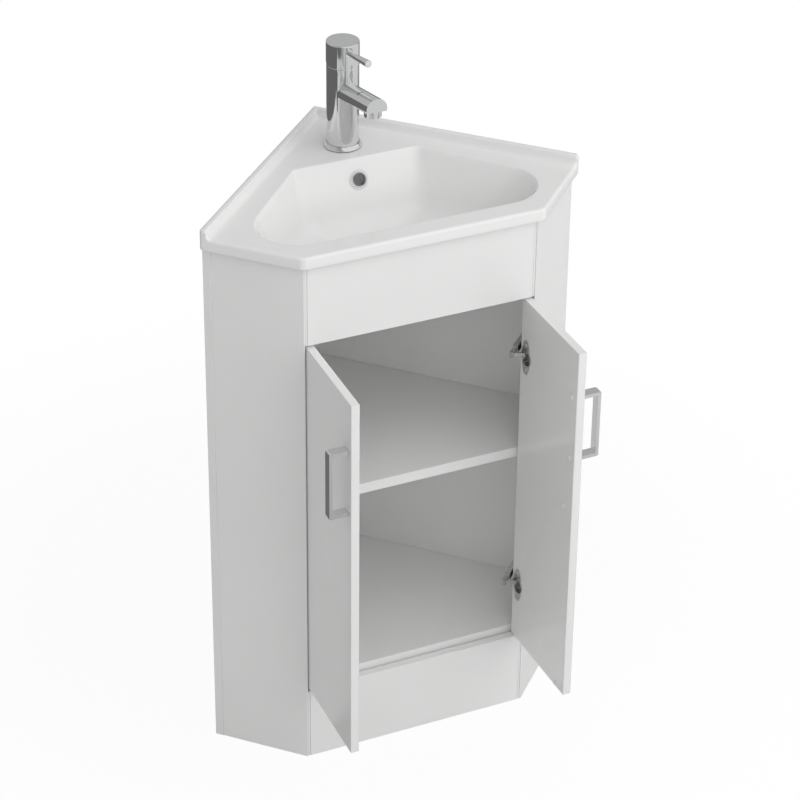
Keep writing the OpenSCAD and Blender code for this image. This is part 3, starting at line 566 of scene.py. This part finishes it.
def screw(bm, centre, axis, head_r, head_h, shank_r, length):
    """A pan-head screw with a cross recess, its head's top at the centre."""
    one = bmesh.new()
    flat, recess, point = 0.66 * head_r, 0.55 * head_h, 0.7 * shank_r
    spun(one, [
        (flat, 0.0), (0.84 * head_r, -0.07 * head_h), (0.95 * head_r, -0.24 * head_h),
        (head_r, -0.5 * head_h), (head_r, -head_h), (shank_r, -head_h),
        (shank_r, -length + point), (0.35 * shank_r, -length), (0.0, -length)], 24)
    ring = [e for e in one.edges if e.is_boundary]
    wide, long = 0.13 * head_r, 0.5 * head_r
    plan = [(long, -wide), (long, wide), (wide, wide), (wide, long), (-wide, long), (-wide, wide)]
    plan += [(-x, -y) for x, y in plan]
    cross = one.faces.new([one.verts.new((x, y, 0)) for x, y in plan])
    bmesh.ops.triangle_fill(one, edges=ring + list(cross.edges), use_beauty=True,
                            normal=(0, 0, 1))
    floor = bmesh.ops.extrude_face_region(one, geom=[cross])
    low = [v for v in floor["geom"] if isinstance(v, bmesh.types.BMVert)]
    bmesh.ops.translate(one, verts=low, vec=(0, 0, -recess))
    bmesh.ops.scale(one, verts=low, vec=(0.8, 0.8, 1.0))
    if cross.is_valid:
        bmesh.ops.delete(one, geom=[cross], context="FACES_ONLY")
    bmesh.ops.transform(one, matrix=facing(centre, axis), verts=one.verts)
    bmesh.ops.recalc_face_normals(one, faces=one.faces)
    mesh = mesh_of("screw", one)
    bm.from_mesh(mesh)
    bpy.data.meshes.remove(mesh)


def cross_head_screws(node):
    """Replaces a CAD screw node by screws of the same place and size with real heads."""
    plain = merged_copy(node)
    solids = linked_groups(plain.faces, lambda face: (
        other for edge in face.edges for other in edge.link_faces))
    facts = [screw_facts(faces) for faces in solids]
    plain.free()
    bm = bmesh.new()
    for fact in facts:
        screw(bm, *fact)
    fine_piece(node, bm, hard=HARD_TURNED)


# --- basin ---------------------------------------------------------------------

# Rows of the bowl in millimetres: height, then the plan centre and radius of the
# rear corner arcs and of the front corner arcs. A row is symmetrical about x = 0.
MOUTH = (822, 86, -162, 14, 143, -290.94, 58)
COLLAR = (804, 78.4, -180, 24, 138, -287.94, 53)
UPPER = (778, 71.8, -201.5, 34, 131, -283.94, 50)
WAIST = (742, 64.9, -219, 40, 121, -278.94, 46)
SLOPE = (727, 39.6, -228, 26, 78, -268.94, 36)
DISH = (716, 0, -254.94, 34, 0, -254.94, 34)
SKIN_TOP = (804, 82.75, -169.94, 22.4, 136.75, -288.13, 58.6)
SKIN_WAIST = (740, 70, -198, 32, 120, -277.94, 56)
SKIN_BASE = (696, 0, -254.94, 46, 0, -254.94, 46)
WASTE_HOLE_R = 22.45
TAP_HOLE = (0, -104, 17.5)
# Width of the ring between the rim's rounding and the flat field
RING = 1.1
# Depth of the rounded nose of the upstand, the lines that cut it, in millimetres
# from its face, and those that cut its cove, as shares of the cove
NOSE = 2.5
NOSE_LINES = (NOSE, 1.5, 0.7, 0.2)
COVE_LINES = (0.0, 0.03, 0.13, 0.3, 0.5, 0.73, 1.0)
# Side profiles (y, z) in millimetres of the overflow's boss and of its channel, each
# with half its width, then radius, depth and sinking of the channel's round mouth
BOSS = ((-152, 809), (-171, 752), (-196, 728), (-217, 712), (-226, 698), (-199, 698),
        (-176, 722), (-155, 748), (-133, 809))
CHANNEL = ((-146, 803), (-169, 752), (-190, 728), (-207, 709), (-236, 709),
           (-236, 702), (-204, 702), (-182, 726), (-161, 750), (-140, 803))
BOSS_HALF, CHANNEL_HALF = 18, 11
INLET_R, INLET_DEEP, INLET_SUNK = 10, 34, 7
# The bowl's faces about the duct, front, rear and half width, and the cuts beside it
DUCT_FIELD = (-232, -140, 60)
DUCT_CUT = 24
# While they are made, the rim's lower face lies LOW_BY metres down, rows ROW_BY apart
LOW_BY = 1.0
ROW_BY = 200.0


def grown(row, by):
    """The same row with every arc's radius larger by that many millimetres."""
    z, ax, ay, ar, bx, by_, br = row
    return (z, ax, ay, ar + by, bx, by_, br + by)


def disc_row(z, radius):
    return (z, 0, DISH[2], radius, 0, DISH[2], radius)


def cut_finer(rows, times):
    """Corner cutting: turns a few rows into a smooth run that keeps both ends."""
    for _ in range(times):
        finer = [rows[0]]
        for a, b in zip(rows, rows[1:]):
            for share in (0.25, 0.75):
                finer.append(tuple((1 - share) * p + share * q for p, q in zip(a, b)))
        rows = finer + [rows[-1]]
    return rows


def arc(bm, start, centre, sweep, steps):
    """Spins one vertex round a vertical axis and returns its edges and both ends."""
    first = bm.verts.new(start)
    made = bmesh.ops.spin(bm, geom=[first], cent=centre, axis=(0, 0, 1), dvec=(0, 0, 0),
                          angle=sweep, steps=steps, use_merge=False, use_normal_flip=False,
                          use_duplicate=False)
    last = next(v for v in made["geom_last"] if isinstance(v, bmesh.types.BMVert))
    edges, at = [], first
    while at is not last:
        edges.append(next(e for e in at.link_edges if e not in edges))
        at = edges[-1].other_vert(at)
    return edges, first, last


def outline(bm, row, steps):
    """One closed row: four arcs joined by straight runs, symmetrical about x = 0."""
    z, ax, ay, ar, bx, by, br = (value * MM for value in row)
    run = Vector((bx - ax, by - ay))
    side = 0.0
    if run.length > 1e-6:
        side = math.atan2(run.y, run.x) + math.acos((ar - br) / run.length)
    turn = math.pi / 2
    arcs = []
    for cx, cy, r, start, end in ((ax, ay, ar, turn, side), (bx, by, br, side, -turn),
                                  (-bx, by, br, -turn, -2 * turn - side),
                                  (-ax, ay, ar, 2 * turn - side, turn)):
        place = (cx + r * math.cos(start), cy + r * math.sin(start), z)
        arcs.append(arc(bm, place, (cx, cy, z), end - start, steps))
    edges = [e for made, _, _ in arcs for e in made]
    for (_, _, last), (_, first, _) in zip(arcs, arcs[1:] + arcs[:1]):
        edges.append(bm.edges.new((last, first)))
    return edges


def fill_flat(bm, outer, holes, up):
    """Fills a flat field inside a closed loop, round holes that are convex."""
    edges = outer + [e for hole in holes for e in hole]
    verts = verts_of(edges)
    index = {v: i for i, v in enumerate(verts)}
    pairs = [(index[e.verts[0]], index[e.verts[1]]) for e in edges]
    rings = [{index[v] for v in verts_of(hole)} for hole in holes]
    _, _, faces, origin, _, _ = delaunay_2d_cdt([v.co.xy for v in verts], pairs, [], 1, SNAP)
    for face in faces:
        corners = [origin[i][0] for i in face]
        if not any(ring.issuperset(corners) for ring in rings):
            bm.faces.new([verts[i] for i in (corners if up else corners[::-1])])


def plan_face(bm, plan):
    """The rim's five-cornered plan with its free corners rounded."""
    basin = settings("vanity_basin")
    verts = [bm.verts.new((x, y, 0)) for x, y in plan]
    face = bm.faces.new(verts)
    before = set(bm.faces) - {face}
    front = basin.front_corner * math.tan(math.radians(22.5))
    for pair, offset in (((verts[1], verts[4]), basin.wall_corner),
                         ((verts[2], verts[3]), front)):
        bevelled(bm, list(pair), offset, 6, affect="VERTICES", clamp=False)
    return (set(bm.faces) - before).pop()


def ringed(bm, plan, rings):
    """A plan with even rings inside its outline; a vertex's height holds its distance in."""
    face = plan_face(bm, plan)
    last = 0.0
    for ring in rings:
        bmesh.ops.inset_region(bm, faces=[face], thickness=ring - last, depth=0,
                               use_even_offset=True, use_boundary=True)
        for v in face.verts:
            v.co.z = ring
        last = ring


def from_wall(v):
    """How far a vertex lies from the nearer wall."""
    return -(abs(v.co.x) + v.co.y) / math.sqrt(2)


def upstand_height(inward):
    """Height over the deck at a distance from the wall: raised edge, then cove."""
    basin = settings("vanity_basin")
    rise = BASIN_HIGH.z - CABINET_TOP - basin.rim_thick
    t, cove, nose = basin.upstand_thick, basin.cove, NOSE * MM
    if inward <= t - nose:
        return rise
    if inward <= t:
        along = (inward - (t - nose)) / nose
        return rise - nose * (1 - math.sqrt(max(0.0, 1 - along * along)))
    past = min(1.0, (inward - t) / cove)
    return cove * (1 - math.sqrt(max(0.0, 1 - (1 - past) ** 2)))


def prism(profile, half):
    """A closed side profile of (y, z) millimetres made solid from -half to half in x."""
    bm = bmesh.new()
    face = bm.faces.new([bm.verts.new((-half * MM, y * MM, z * MM)) for y, z in profile])
    made = bmesh.ops.extrude_face_region(bm, geom=[face])
    side = [v for v in made["geom"] if isinstance(v, bmesh.types.BMVert)]
    bmesh.ops.translate(bm, verts=side, vec=(2 * half * MM, 0, 0))
    bmesh.ops.recalc_face_normals(bm, faces=bm.faces)
    return bm


def carve(bm, steps):
    """Runs exact booleans (operation, helper bmesh) on a bmesh and returns the result."""
    work = linked("carve_work", mesh_of("carve_work", bm))
    helpers = []
    for operation, helper in steps:
        helpers.append(linked("carve_tool", mesh_of("carve_tool", helper)))
        cut = work.modifiers.new("carve", "BOOLEAN")
        cut.operation = operation
        cut.solver = "EXACT"
        cut.object = helpers[-1]
    depsgraph = bpy.context.evaluated_depsgraph_get()
    result = bpy.data.meshes.new_from_object(work.evaluated_get(depsgraph))
    out = bmesh.new()
    out.from_mesh(result)
    bpy.data.meshes.remove(result)
    for made in [work, *helpers]:
        mesh = made.data
        bpy.data.objects.remove(made)
        bpy.data.meshes.remove(mesh)
    return out


class VANITY_OT_basin(bpy.types.Operator):
    """Glazed basin: rim with its upstand, sunken bowl, overflow duct and drilled holes"""

    bl_idname = "vanity.basin"
    bl_label = "Basin"

    def execute(self, context):
        deck = CABINET_TOP + settings("vanity_basin").rim_thick
        bm = bmesh.new()
        self.rim(bm, deck)
        rims = linked_groups([e for e in bm.edges if e.is_boundary], lambda edge: (
            other for v in edge.verts for other in v.link_edges))
        rims.sort(key=self.span, reverse=True)
        tops = [loop for loop in rims if max(v.co.z for v in verts_of(loop)) > deck - 5 * MM]
        lows = [loop for loop in rims if loop not in tops]
        bmesh.ops.bridge_loops(bm, edges=tops[0] + lows[0])
        rows = self.bowl(bm)
        holes = self.tap_hole(bm, deck)
        fill_flat(bm, tops[1], [rows[0], holes[0]], True)
        fill_flat(bm, lows[1], [rows[-1], holes[1]], False)
        bmesh.ops.remove_doubles(bm, verts=bm.verts, dist=MERGE)
        bmesh.ops.recalc_face_normals(bm, faces=bm.faces)
        bm = self.overflow(bm, deck)
        placed("glazed_basin", bm, ["ceramic"], BODY_OF["basin"], ["basin"], HARD_GLAZED)
        return {"FINISHED"}

    @staticmethod
    def span(loop):
        xs = [v.co.x for v in verts_of(loop)]
        return max(xs) - min(xs)

    @staticmethod
    def rim(bm, deck):
        """Rim and upstand, open where the flat fields of deck and underside go."""
        basin = settings("vanity_basin")
        half, front = BASIN_HIGH.x, -BASIN_LOW.y
        narrow = 2 * half - front
        plan = [(0, 0), (half, -half), (narrow, -front), (-narrow, -front), (-half, -half)]
        turn = [math.radians(22.5 * k) for k in range(1, 5)]
        round_top = [basin.rim_round * (1 - math.cos(a)) for a in turn]
        round_low = [basin.under_round * (1 - math.cos(a)) for a in turn[1::2]]
        field_top, field_low = basin.rim_round + RING * MM, round_low[-1]
        ringed(bm, plan, round_top + [field_top])
        top_verts = set(bm.verts)
        ringed(bm, plan, round_low)
        for v in bm.verts:
            if v not in top_verts:
                v.co.z -= LOW_BY

        # Lines along both walls carry the upstand's section
        sliced(bm, bm.faces, (0, 0, 0), (1, 0, 0))
        t, cove = basin.upstand_thick, basin.cove
        lines = [t - line * MM for line in NOSE_LINES]
        lines += [t + share * cove for share in COVE_LINES] + [t + cove + 2 * MM]
        for side in (1, -1):
            for line in lines:
                faces = [f for f in bm.faces if side * f.calc_center_median().x > 0]
                diagonal = -line / math.sqrt(2)
                sliced(bm, faces, (side * diagonal, diagonal, 0), (-side, -1, 0))

        # The flat fields are cleared, to be filled again round the openings
        def flat(face):
            low = face.calc_center_median().z < -LOW_BY / 2
            least = (field_low - LOW_BY if low else field_top) - 1e-6
            return all(v.co.z >= least and (low or from_wall(v) >= lines[-1] - 1e-6)
                       for v in face.verts)

        bmesh.ops.delete(bm, geom=[f for f in bm.faces if flat(f)], context="FACES")
        for v in bm.verts:
            low = v.co.z < -LOW_BY / 2
            radius = basin.under_round if low else basin.rim_round
            edge = max(0.0, radius - (v.co.z + LOW_BY if low else v.co.z))
            eased = radius - math.sqrt(max(0.0, radius * radius - edge ** 2))
            if low:
                v.co.z = CABINET_TOP + eased
            else:
                v.co.z = deck + upstand_height(from_wall(v)) - eased

    @staticmethod
    def bowl(bm):
        """Bowl, waste hole and outer skin as one run of rows; returns the rows' edges."""
        basin = settings("vanity_basin")
        inside = cut_finer([grown(MOUTH, 3), grown(MOUTH, -1), COLLAR, UPPER, WAIST, SLOPE,
                            disc_row(716.6, 44), DISH], basin.smoothing)
        skin = cut_finer([SKIN_TOP, SKIN_WAIST, SKIN_BASE, disc_row(696, 34)], 2)
        rows = [grown(MOUTH, 5), *inside, disc_row(716, 25), disc_row(716, WASTE_HOLE_R),
                disc_row(696, WASTE_HOLE_R), disc_row(696, 25), *reversed(skin)]
        # Rows are bridged far apart, where only their plans decide what joins what
        loops = []
        for level, row in enumerate(rows):
            loops.append(outline(bm, (-ROW_BY * level, *row[1:]), basin.corner_steps))
            if level:
                bmesh.ops.bridge_loops(bm, edges=loops[-2] + loops[-1])
        for loop, row in zip(loops, rows):
            for v in verts_of(loop):
                v.co.z = row[0] * MM
        return loops

    @staticmethod
    def tap_hole(bm, deck):
        x, y, r = (value * MM for value in TAP_HOLE)
        holes = []
        for z in (deck, CABINET_TOP):
            made = bmesh.ops.create_circle(bm, cap_ends=False, segments=48, radius=r,
                                           matrix=Matrix.Translation((x, y, z)))
            holes.append(list(dict.fromkeys(e for v in made["verts"] for e in v.link_edges)))
        bmesh.ops.bridge_loops(bm, edges=holes[0] + holes[1])
        return holes

    @staticmethod
    def overflow(bm, deck):
        """Duct behind the bowl with its channel and its round mouth."""
        front, rear, aside = (value * MM for value in DUCT_FIELD)
        for side in (1, -1):
            near = []
            for face in bm.faces:
                x, y, z = face.calc_center_median()
                if front < y < rear and z < deck - MM and abs(x) < aside:
                    near.append(face)
            sliced(bm, near, (side * DUCT_CUT * MM, 0, 0), (1, 0, 0))
        ring_low, ring_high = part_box("overflow_ring")
        centre = (ring_low + ring_high) / 2
        lean = math.atan2(ring_high.z - ring_low.z, ring_high.y - ring_low.y)
        axis = Vector((0, -math.sin(lean), math.cos(lean)))
        inlet = bmesh.new()
        bmesh.ops.create_cone(
            inlet, cap_ends=True, segments=48, radius1=INLET_R * MM, radius2=INLET_R * MM,
            depth=INLET_DEEP * MM, matrix=facing(centre - axis * INLET_SUNK * MM, axis))
        out = carve(bm, [("UNION", prism(BOSS, BOSS_HALF)),
                         ("DIFFERENCE", prism(CHANNEL, CHANNEL_HALF)), ("DIFFERENCE", inlet)])
        bmesh.ops.remove_doubles(out, verts=out.verts, dist=MERGE)
        return out


# --- cabinet -------------------------------------------------------------------

# The strips that close the gaps beside fascia and plinth, in millimetres: width, depth,
# gap to the board, setback and edge rounding
STRIP_W, STRIP_DEEP, STRIP_GAP, STRIP_BACK, STRIP_ROUND = 2.7, 12, 0.25, 0.6, 0.3
# How far they stop short of each board's lower and upper edge
STRIP_SHORT = {"fascia": (1.0, 0.5), "plinth": (0.5, 3.0)}


class VANITY_OT_fronts(bpy.types.Operator):
    """Gloss doors, fascia and plinth with eased edges, and the strips beside them"""

    bl_idname = "vanity.fronts"
    bl_label = "Doors, fascia and plinth"

    def execute(self, context):
        for node in ("left_door", "right_door", "fascia", "plinth"):
            board(node, banded=False, slot="front_white", shortest=100 * MM)
        bm = bmesh.new()
        for node, (low, high) in STRIP_SHORT.items():
            start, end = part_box(node)
            size = Vector((STRIP_W * MM, STRIP_DEEP * MM, end.z - start.z - (low + high) * MM))
            for side in (1, -1):
                middle = Vector((side * (end.x + STRIP_GAP * MM + size.x / 2),
                                 start.y + STRIP_BACK * MM + size.y / 2,
                                 start.z + low * MM + size.z / 2))
                bmesh.ops.create_cube(bm, size=1.0, matrix=Matrix.LocRotScale(middle, None, size))
        rounded_edges(bm, STRIP_ROUND * MM, 5 * MM)
        placed("filler_strips", bm, ["front_white"], BODY_OF["fascia"])
        return {"FINISHED"}


class VANITY_OT_boards(bpy.types.Operator):
    """Satin boards of the carcass with edge bands, raw core where no edge is seen"""

    bl_idname = "vanity.boards"
    bl_label = "Carcass boards"

    def execute(self, context):
        down, up, right_wall, left_wall = (0, 0, -1), (0, 0, 1), (1, 1, 0), (-1, 1, 0)
        for side in ("left", "right"):
            board(side + "_side_panel", raw=(down, up, right_wall, left_wall), shortest=90 * MM)
        for side in ("left", "right"):
            board(side + "_back_panel", raw=(down, up, right_wall, left_wall))
        for node in ("base_panel", "shelf"):
            board(node, raw=(right_wall, left_wall))
        for side in ("left", "right"):
            board(side + "_wall_rail", raw=(right_wall, left_wall, (1, -1, 0), (-1, -1, 0)))
        board("fixing_blocks", shortest=10 * MM)
        return {"FINISHED"}


class VANITY_OT_handles(bpy.types.Operator):
    """Polished bow handles, their capped screws and the doors' soft bumpers"""

    bl_idname = "vanity.handles"
    bl_label = "Handles and bumpers"

    def execute(self, context):
        for side in ("left", "right"):
            self.handle(side + "_handle")
            worked_copy(side + "_handle_screws", 0.5 * MM, slots=["front_white"])
            worked_copy(side + "_door_bumpers", 0.3 * MM)
        return {"FINISHED"}

    @staticmethod
    def handle(node):
        """The bow handle with both legs drawn thinner about their own middle."""
        bm = merged_copy(node)
        low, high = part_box(node)
        middle, half = (low.z + high.z) / 2, (high.z - low.z) / 2
        leg, less = 8 * MM, 1.4 * MM
        for v in bm.verts:
            away = abs(v.co.z - middle)
            side = 1 if v.co.z > middle else -1
            if away > half - 0.25 * leg:
                v.co.z -= side * less
            elif half - 1.01 * leg < away < half - 0.99 * leg:
                v.co.z += side * less
        rounded_edges(bm, settings("vanity_edges").handle, 4 * MM, segments=3)
        fine_piece(node, bm)


class VANITY_OT_hinges(bpy.types.Operator):
    """Concealed hinges: cups, arms, plates, links, pins and their screws"""

    bl_idname = "vanity.hinges"
    bl_label = "Concealed hinges"

    def execute(self, context):
        edges = settings("vanity_edges")
        for side in ("left", "right"):
            for level in ("upper", "lower"):
                for part, shortest in (("cup", 1.5), ("arm", 2.5), ("link", 1.5)):
                    worked_copy(f"{side}_{level}_hinge_{part}", edges.fitting, shortest * MM)
            worked_copy(side + "_cup_pins")
            cross_head_screws(side + "_cup_screws")
        worked_copy("hinge_plates", edges.fitting, 2.5 * MM)
        worked_copy("hinge_arm_pins")
        for node in ("hinge_plate_screws", "hinge_arm_screws"):
            cross_head_screws(node)
        return {"FINISHED"}


class VANITY_OT_shelf_pegs(bpy.types.Operator):
    """Steel pegs that carry the shelf"""

    bl_idname = "vanity.shelf_pegs"
    bl_label = "Shelf pegs"

    def execute(self, context):
        worked_copy("shelf_pegs", 0.4 * MM)
        return {"FINISHED"}


# --- tap and waste -------------------------------------------------------------


class VANITY_OT_tap(bpy.types.Operator):
    """Single-lever tap: body and spout, head with its pin, cartridge and fixings"""

    bl_idname = "vanity.tap"
    bl_label = "Tap"

    def execute(self, context):
        rounding = settings("vanity_edges").tap
        for node, shortest in (("tap_base_ring", 0.5), ("tap_aerator", 0.5), ("tap_head", 1.2)):
            worked_copy(node, rounding, shortest * MM, HARD_TURNED)
        self.body()
        for name in ("lever_pin", "carrier", "cartridge", "gasket", "clamp_washer",
                     "spindle", "pivot_pin", "stud", "nut"):
            worked_copy("tap_" + name, hard=HARD_TURNED)
        return {"FINISHED"}

    @staticmethod
    def body():
        """The body, its top edge eased into a seam under the head."""
        edges = settings("vanity_edges")
        bm = merged_copy("tap_body")
        high = max(v.co.z for v in bm.verts)
        top = [v for v in bm.verts if v.co.z > high - 0.01 * MM]
        middle = sum((v.co for v in top), Vector()) / len(top)
        reach = {v: (v.co - middle).length for v in top}
        brim = max(reach.values()) - 0.5 * MM
        seam = [e for e in bm.edges if all(reach.get(v, 0.0) > brim for v in e.verts)]
        bevelled(bm, seam, edges.seam, 3)
        rounded_edges(bm, edges.tap, 0.5 * MM)
        fine_piece("tap_body", bm, hard=HARD_TURNED)


class VANITY_OT_waste(bpy.types.Operator):
    """Waste with its plug and seals, and the overflow's ring"""

    bl_idname = "vanity.waste"
    bl_label = "Waste and overflow"

    def execute(self, context):
        for node in ("waste_body", "waste_plug", "waste_backnut", "waste_upper_seal",
                     "waste_lower_seal", "overflow_ring"):
            worked_copy(node, hard=HARD_TURNED)
        return {"FINISHED"}


# --- stage ---------------------------------------------------------------------

# Lamps: name, the setting of its power, side and place, all facing LAMP_AIM
LAMPS = (("key_light", "key_power", 4.8, (1.6, -2.1, 2.5)),
         ("fill_light", "fill_power", 4.0, (-0.5, -3.0, 3.1)))
LAMP_AIM = (0, -0.2, 0.45)
FLOOR_HALF, FLOOR_DROP = 9.0, 0.4 * MM
# Directions along which reflections see the floor and the room change
FLOOR_WAY = (0.75, -0.66, 0)
ROOM_WAY = (0.497, -0.59, 0.636)
# Levels of the room that reflections see, from behind to the soft light in front
ROOM_LEVELS = ((0.0, 0.52), (0.5, 0.3), (0.68, 0.86))
# The camera's turn, rise and roll in degrees, what it aims at and how far off it is
CAMERA_ANGLES = (-24.366, 30.974, 0.641)
CAMERA_AIM = (0.046456, -0.2, 0.549344)
CAMERA_AWAY = 4.10367
CAMERA_LENS, CAMERA_SHIFT = 131.27, -0.075


class VANITY_OT_stage(bpy.types.Operator):
    """Pale floor, soft light and the camera"""

    bl_idname = "vanity.stage"
    bl_label = "Floor, light and camera"

    def execute(self, context):
        stage = settings("vanity_stage")
        scene = context.scene
        scene.view_settings.view_transform = "Standard"
        self.floor(stage)
        self.room(scene, stage)
        for name, power, side, place in LAMPS:
            self.lamp(name, getattr(stage, power), side, Vector(place))
        self.camera(scene)
        return {"FINISHED"}

    @staticmethod
    def lamp(name, power, side, place):
        lamp = bpy.data.lights.new(name, "AREA")
        lamp.energy = power
        lamp.shape = "RECTANGLE"
        lamp.size = lamp.size_y = side
        made = linked(name, lamp)
        made.matrix_world = facing(place, Vector(LAMP_AIM) - place, "-Z")
        made.visible_camera = made.visible_glossy = False

    @staticmethod
    def floor(stage):
        bm = bmesh.new()
        bmesh.ops.create_grid(bm, x_segments=1, y_segments=1, size=FLOOR_HALF,
                              matrix=Matrix.Translation((0, 0, -FLOOR_DROP)))
        mesh = mesh_of("floor", bm)
        linked("floor", mesh)
        material = bpy.data.materials.new("pale_floor")
        mesh.materials.append(material)
        nodes = Nodes(material)
        nodes.tree.nodes.clear()
        place = nodes.node("ShaderNodeTexCoord").outputs["Object"]
        apart = nodes.node("ShaderNodeVectorMath", operation="LENGTH")
        nodes.join(place, apart.inputs[0])
        # The shadow shows near the unit and fades further off
        share = nodes.node("ShaderNodeMath", operation="MULTIPLY")
        nodes.join(nodes.light_seen(), share.inputs[0])
        nodes.join(nodes.ranged(apart.outputs["Value"], 0.45, 0.95, 0.94, 1.0), share.inputs[1])
        # The camera sees white; reflections see the floor darken to the left
        path = nodes.node("ShaderNodeLightPath")
        level = nodes.node("ShaderNodeMix")
        nodes.join(path.outputs["Is Camera Ray"], level.inputs["Factor"])
        nodes.join(nodes.ranged(nodes.along(place, FLOOR_WAY), 0.1, 1.4, 0.15, 0.72),
                   level.inputs["A"])
        level.inputs["B"].default_value = 1.0
        matt = nodes.node("ShaderNodeBsdfDiffuse", Color=stage.floor)
        glow = nodes.node("ShaderNodeEmission")
        nodes.join(level.outputs["Result"], glow.inputs["Strength"])
        nodes.mixed(share.outputs[0], matt, glow, "ShaderNodeOutputMaterial")

    @staticmethod
    def room(scene, stage):
        scene.world = bpy.data.worlds.new("soft_room")
        nodes = Nodes(scene.world)
        nodes.tree.nodes.clear()
        plain = nodes.node("ShaderNodeBackground", Color=(1, 1, 1, 1), Strength=stage.room_level)
        seen = nodes.node("ShaderNodeBackground", Strength=1.0)
        # The camera sees white; reflections see one broad soft light to the front
        # right of a plain grey room
        place = nodes.node("ShaderNodeTexCoord").outputs["Generated"]
        path = nodes.node("ShaderNodeLightPath")
        sky = nodes.node("ShaderNodeMix", data_type="RGBA")
        sky.inputs["B"].default_value = (1, 1, 1, 1)
        nodes.join(path.outputs["Is Camera Ray"], sky.inputs["Factor"])
        greys = [(position, (level, level, level, 1)) for position, level in ROOM_LEVELS]
        nodes.join(nodes.ramp(nodes.along(place, ROOM_WAY), greys), sky.inputs["A"])
        nodes.join(sky.outputs["Result"], seen.inputs["Color"])
        nodes.mixed(nodes.light_seen(), plain, seen, "ShaderNodeOutputWorld")

    @staticmethod
    def camera(scene):
        """The viewing angle: turned 24.4 degrees to the left and 31 degrees above."""
        azimuth, rise, roll = (math.radians(angle) for angle in CAMERA_ANGLES)
        back = Vector((math.sin(azimuth) * math.cos(rise),
                       -math.cos(azimuth) * math.cos(rise), math.sin(rise)))
        across = (-back).cross(Vector((0, 0, 1))).normalized()
        above = across.cross(-back)
        right = across * math.cos(roll) + above * math.sin(roll)
        up = above * math.cos(roll) - across * math.sin(roll)
        lens = bpy.data.cameras.new("photo_camera")
        lens.sensor_width = 36.0
        lens.lens = CAMERA_LENS
        lens.shift_y = CAMERA_SHIFT
        lens.clip_end = 60.0
        scene.camera = linked("photo_camera", lens)
        turn = Matrix((right, up, back)).transposed().to_4x4()
        place = Vector(CAMERA_AIM) + back * CAMERA_AWAY
        scene.camera.matrix_world = Matrix.Translation(place) @ turn


# --- panel and run -------------------------------------------------------------

OPERATORS = (
    VANITY_OT_basin, VANITY_OT_fronts, VANITY_OT_boards, VANITY_OT_handles, VANITY_OT_hinges,
    VANITY_OT_shelf_pegs, VANITY_OT_tap, VANITY_OT_waste, VANITY_OT_stage)


class VANITY_PT_build(bpy.types.Panel):
    bl_label = "Corner Vanity Unit"
    bl_idname = "VANITY_PT_build"
    bl_space_type = "VIEW_3D"
    bl_region_type = "UI"
    bl_category = "Vanity"

    def draw(self, context):
        for operator in OPERATORS:
            self.layout.operator(operator.bl_idname)


CLASSES = (*GROUPS.values(), *OPERATORS, VANITY_PT_build)


def register():
    for made in CLASSES:
        bpy.utils.register_class(made)
    for name, group in GROUPS.items():
        setattr(bpy.types.Scene, name, PointerProperty(type=group))


def unregister():
    for name in GROUPS:
        delattr(bpy.types.Scene, name)
    for made in reversed(CLASSES):
        bpy.utils.unregister_class(made)


def main():
    register()
    for operator in OPERATORS:
        family, name = operator.bl_idname.split(".")
        getattr(getattr(bpy.ops, family), name)()


if __name__ == "__main__":
    main()
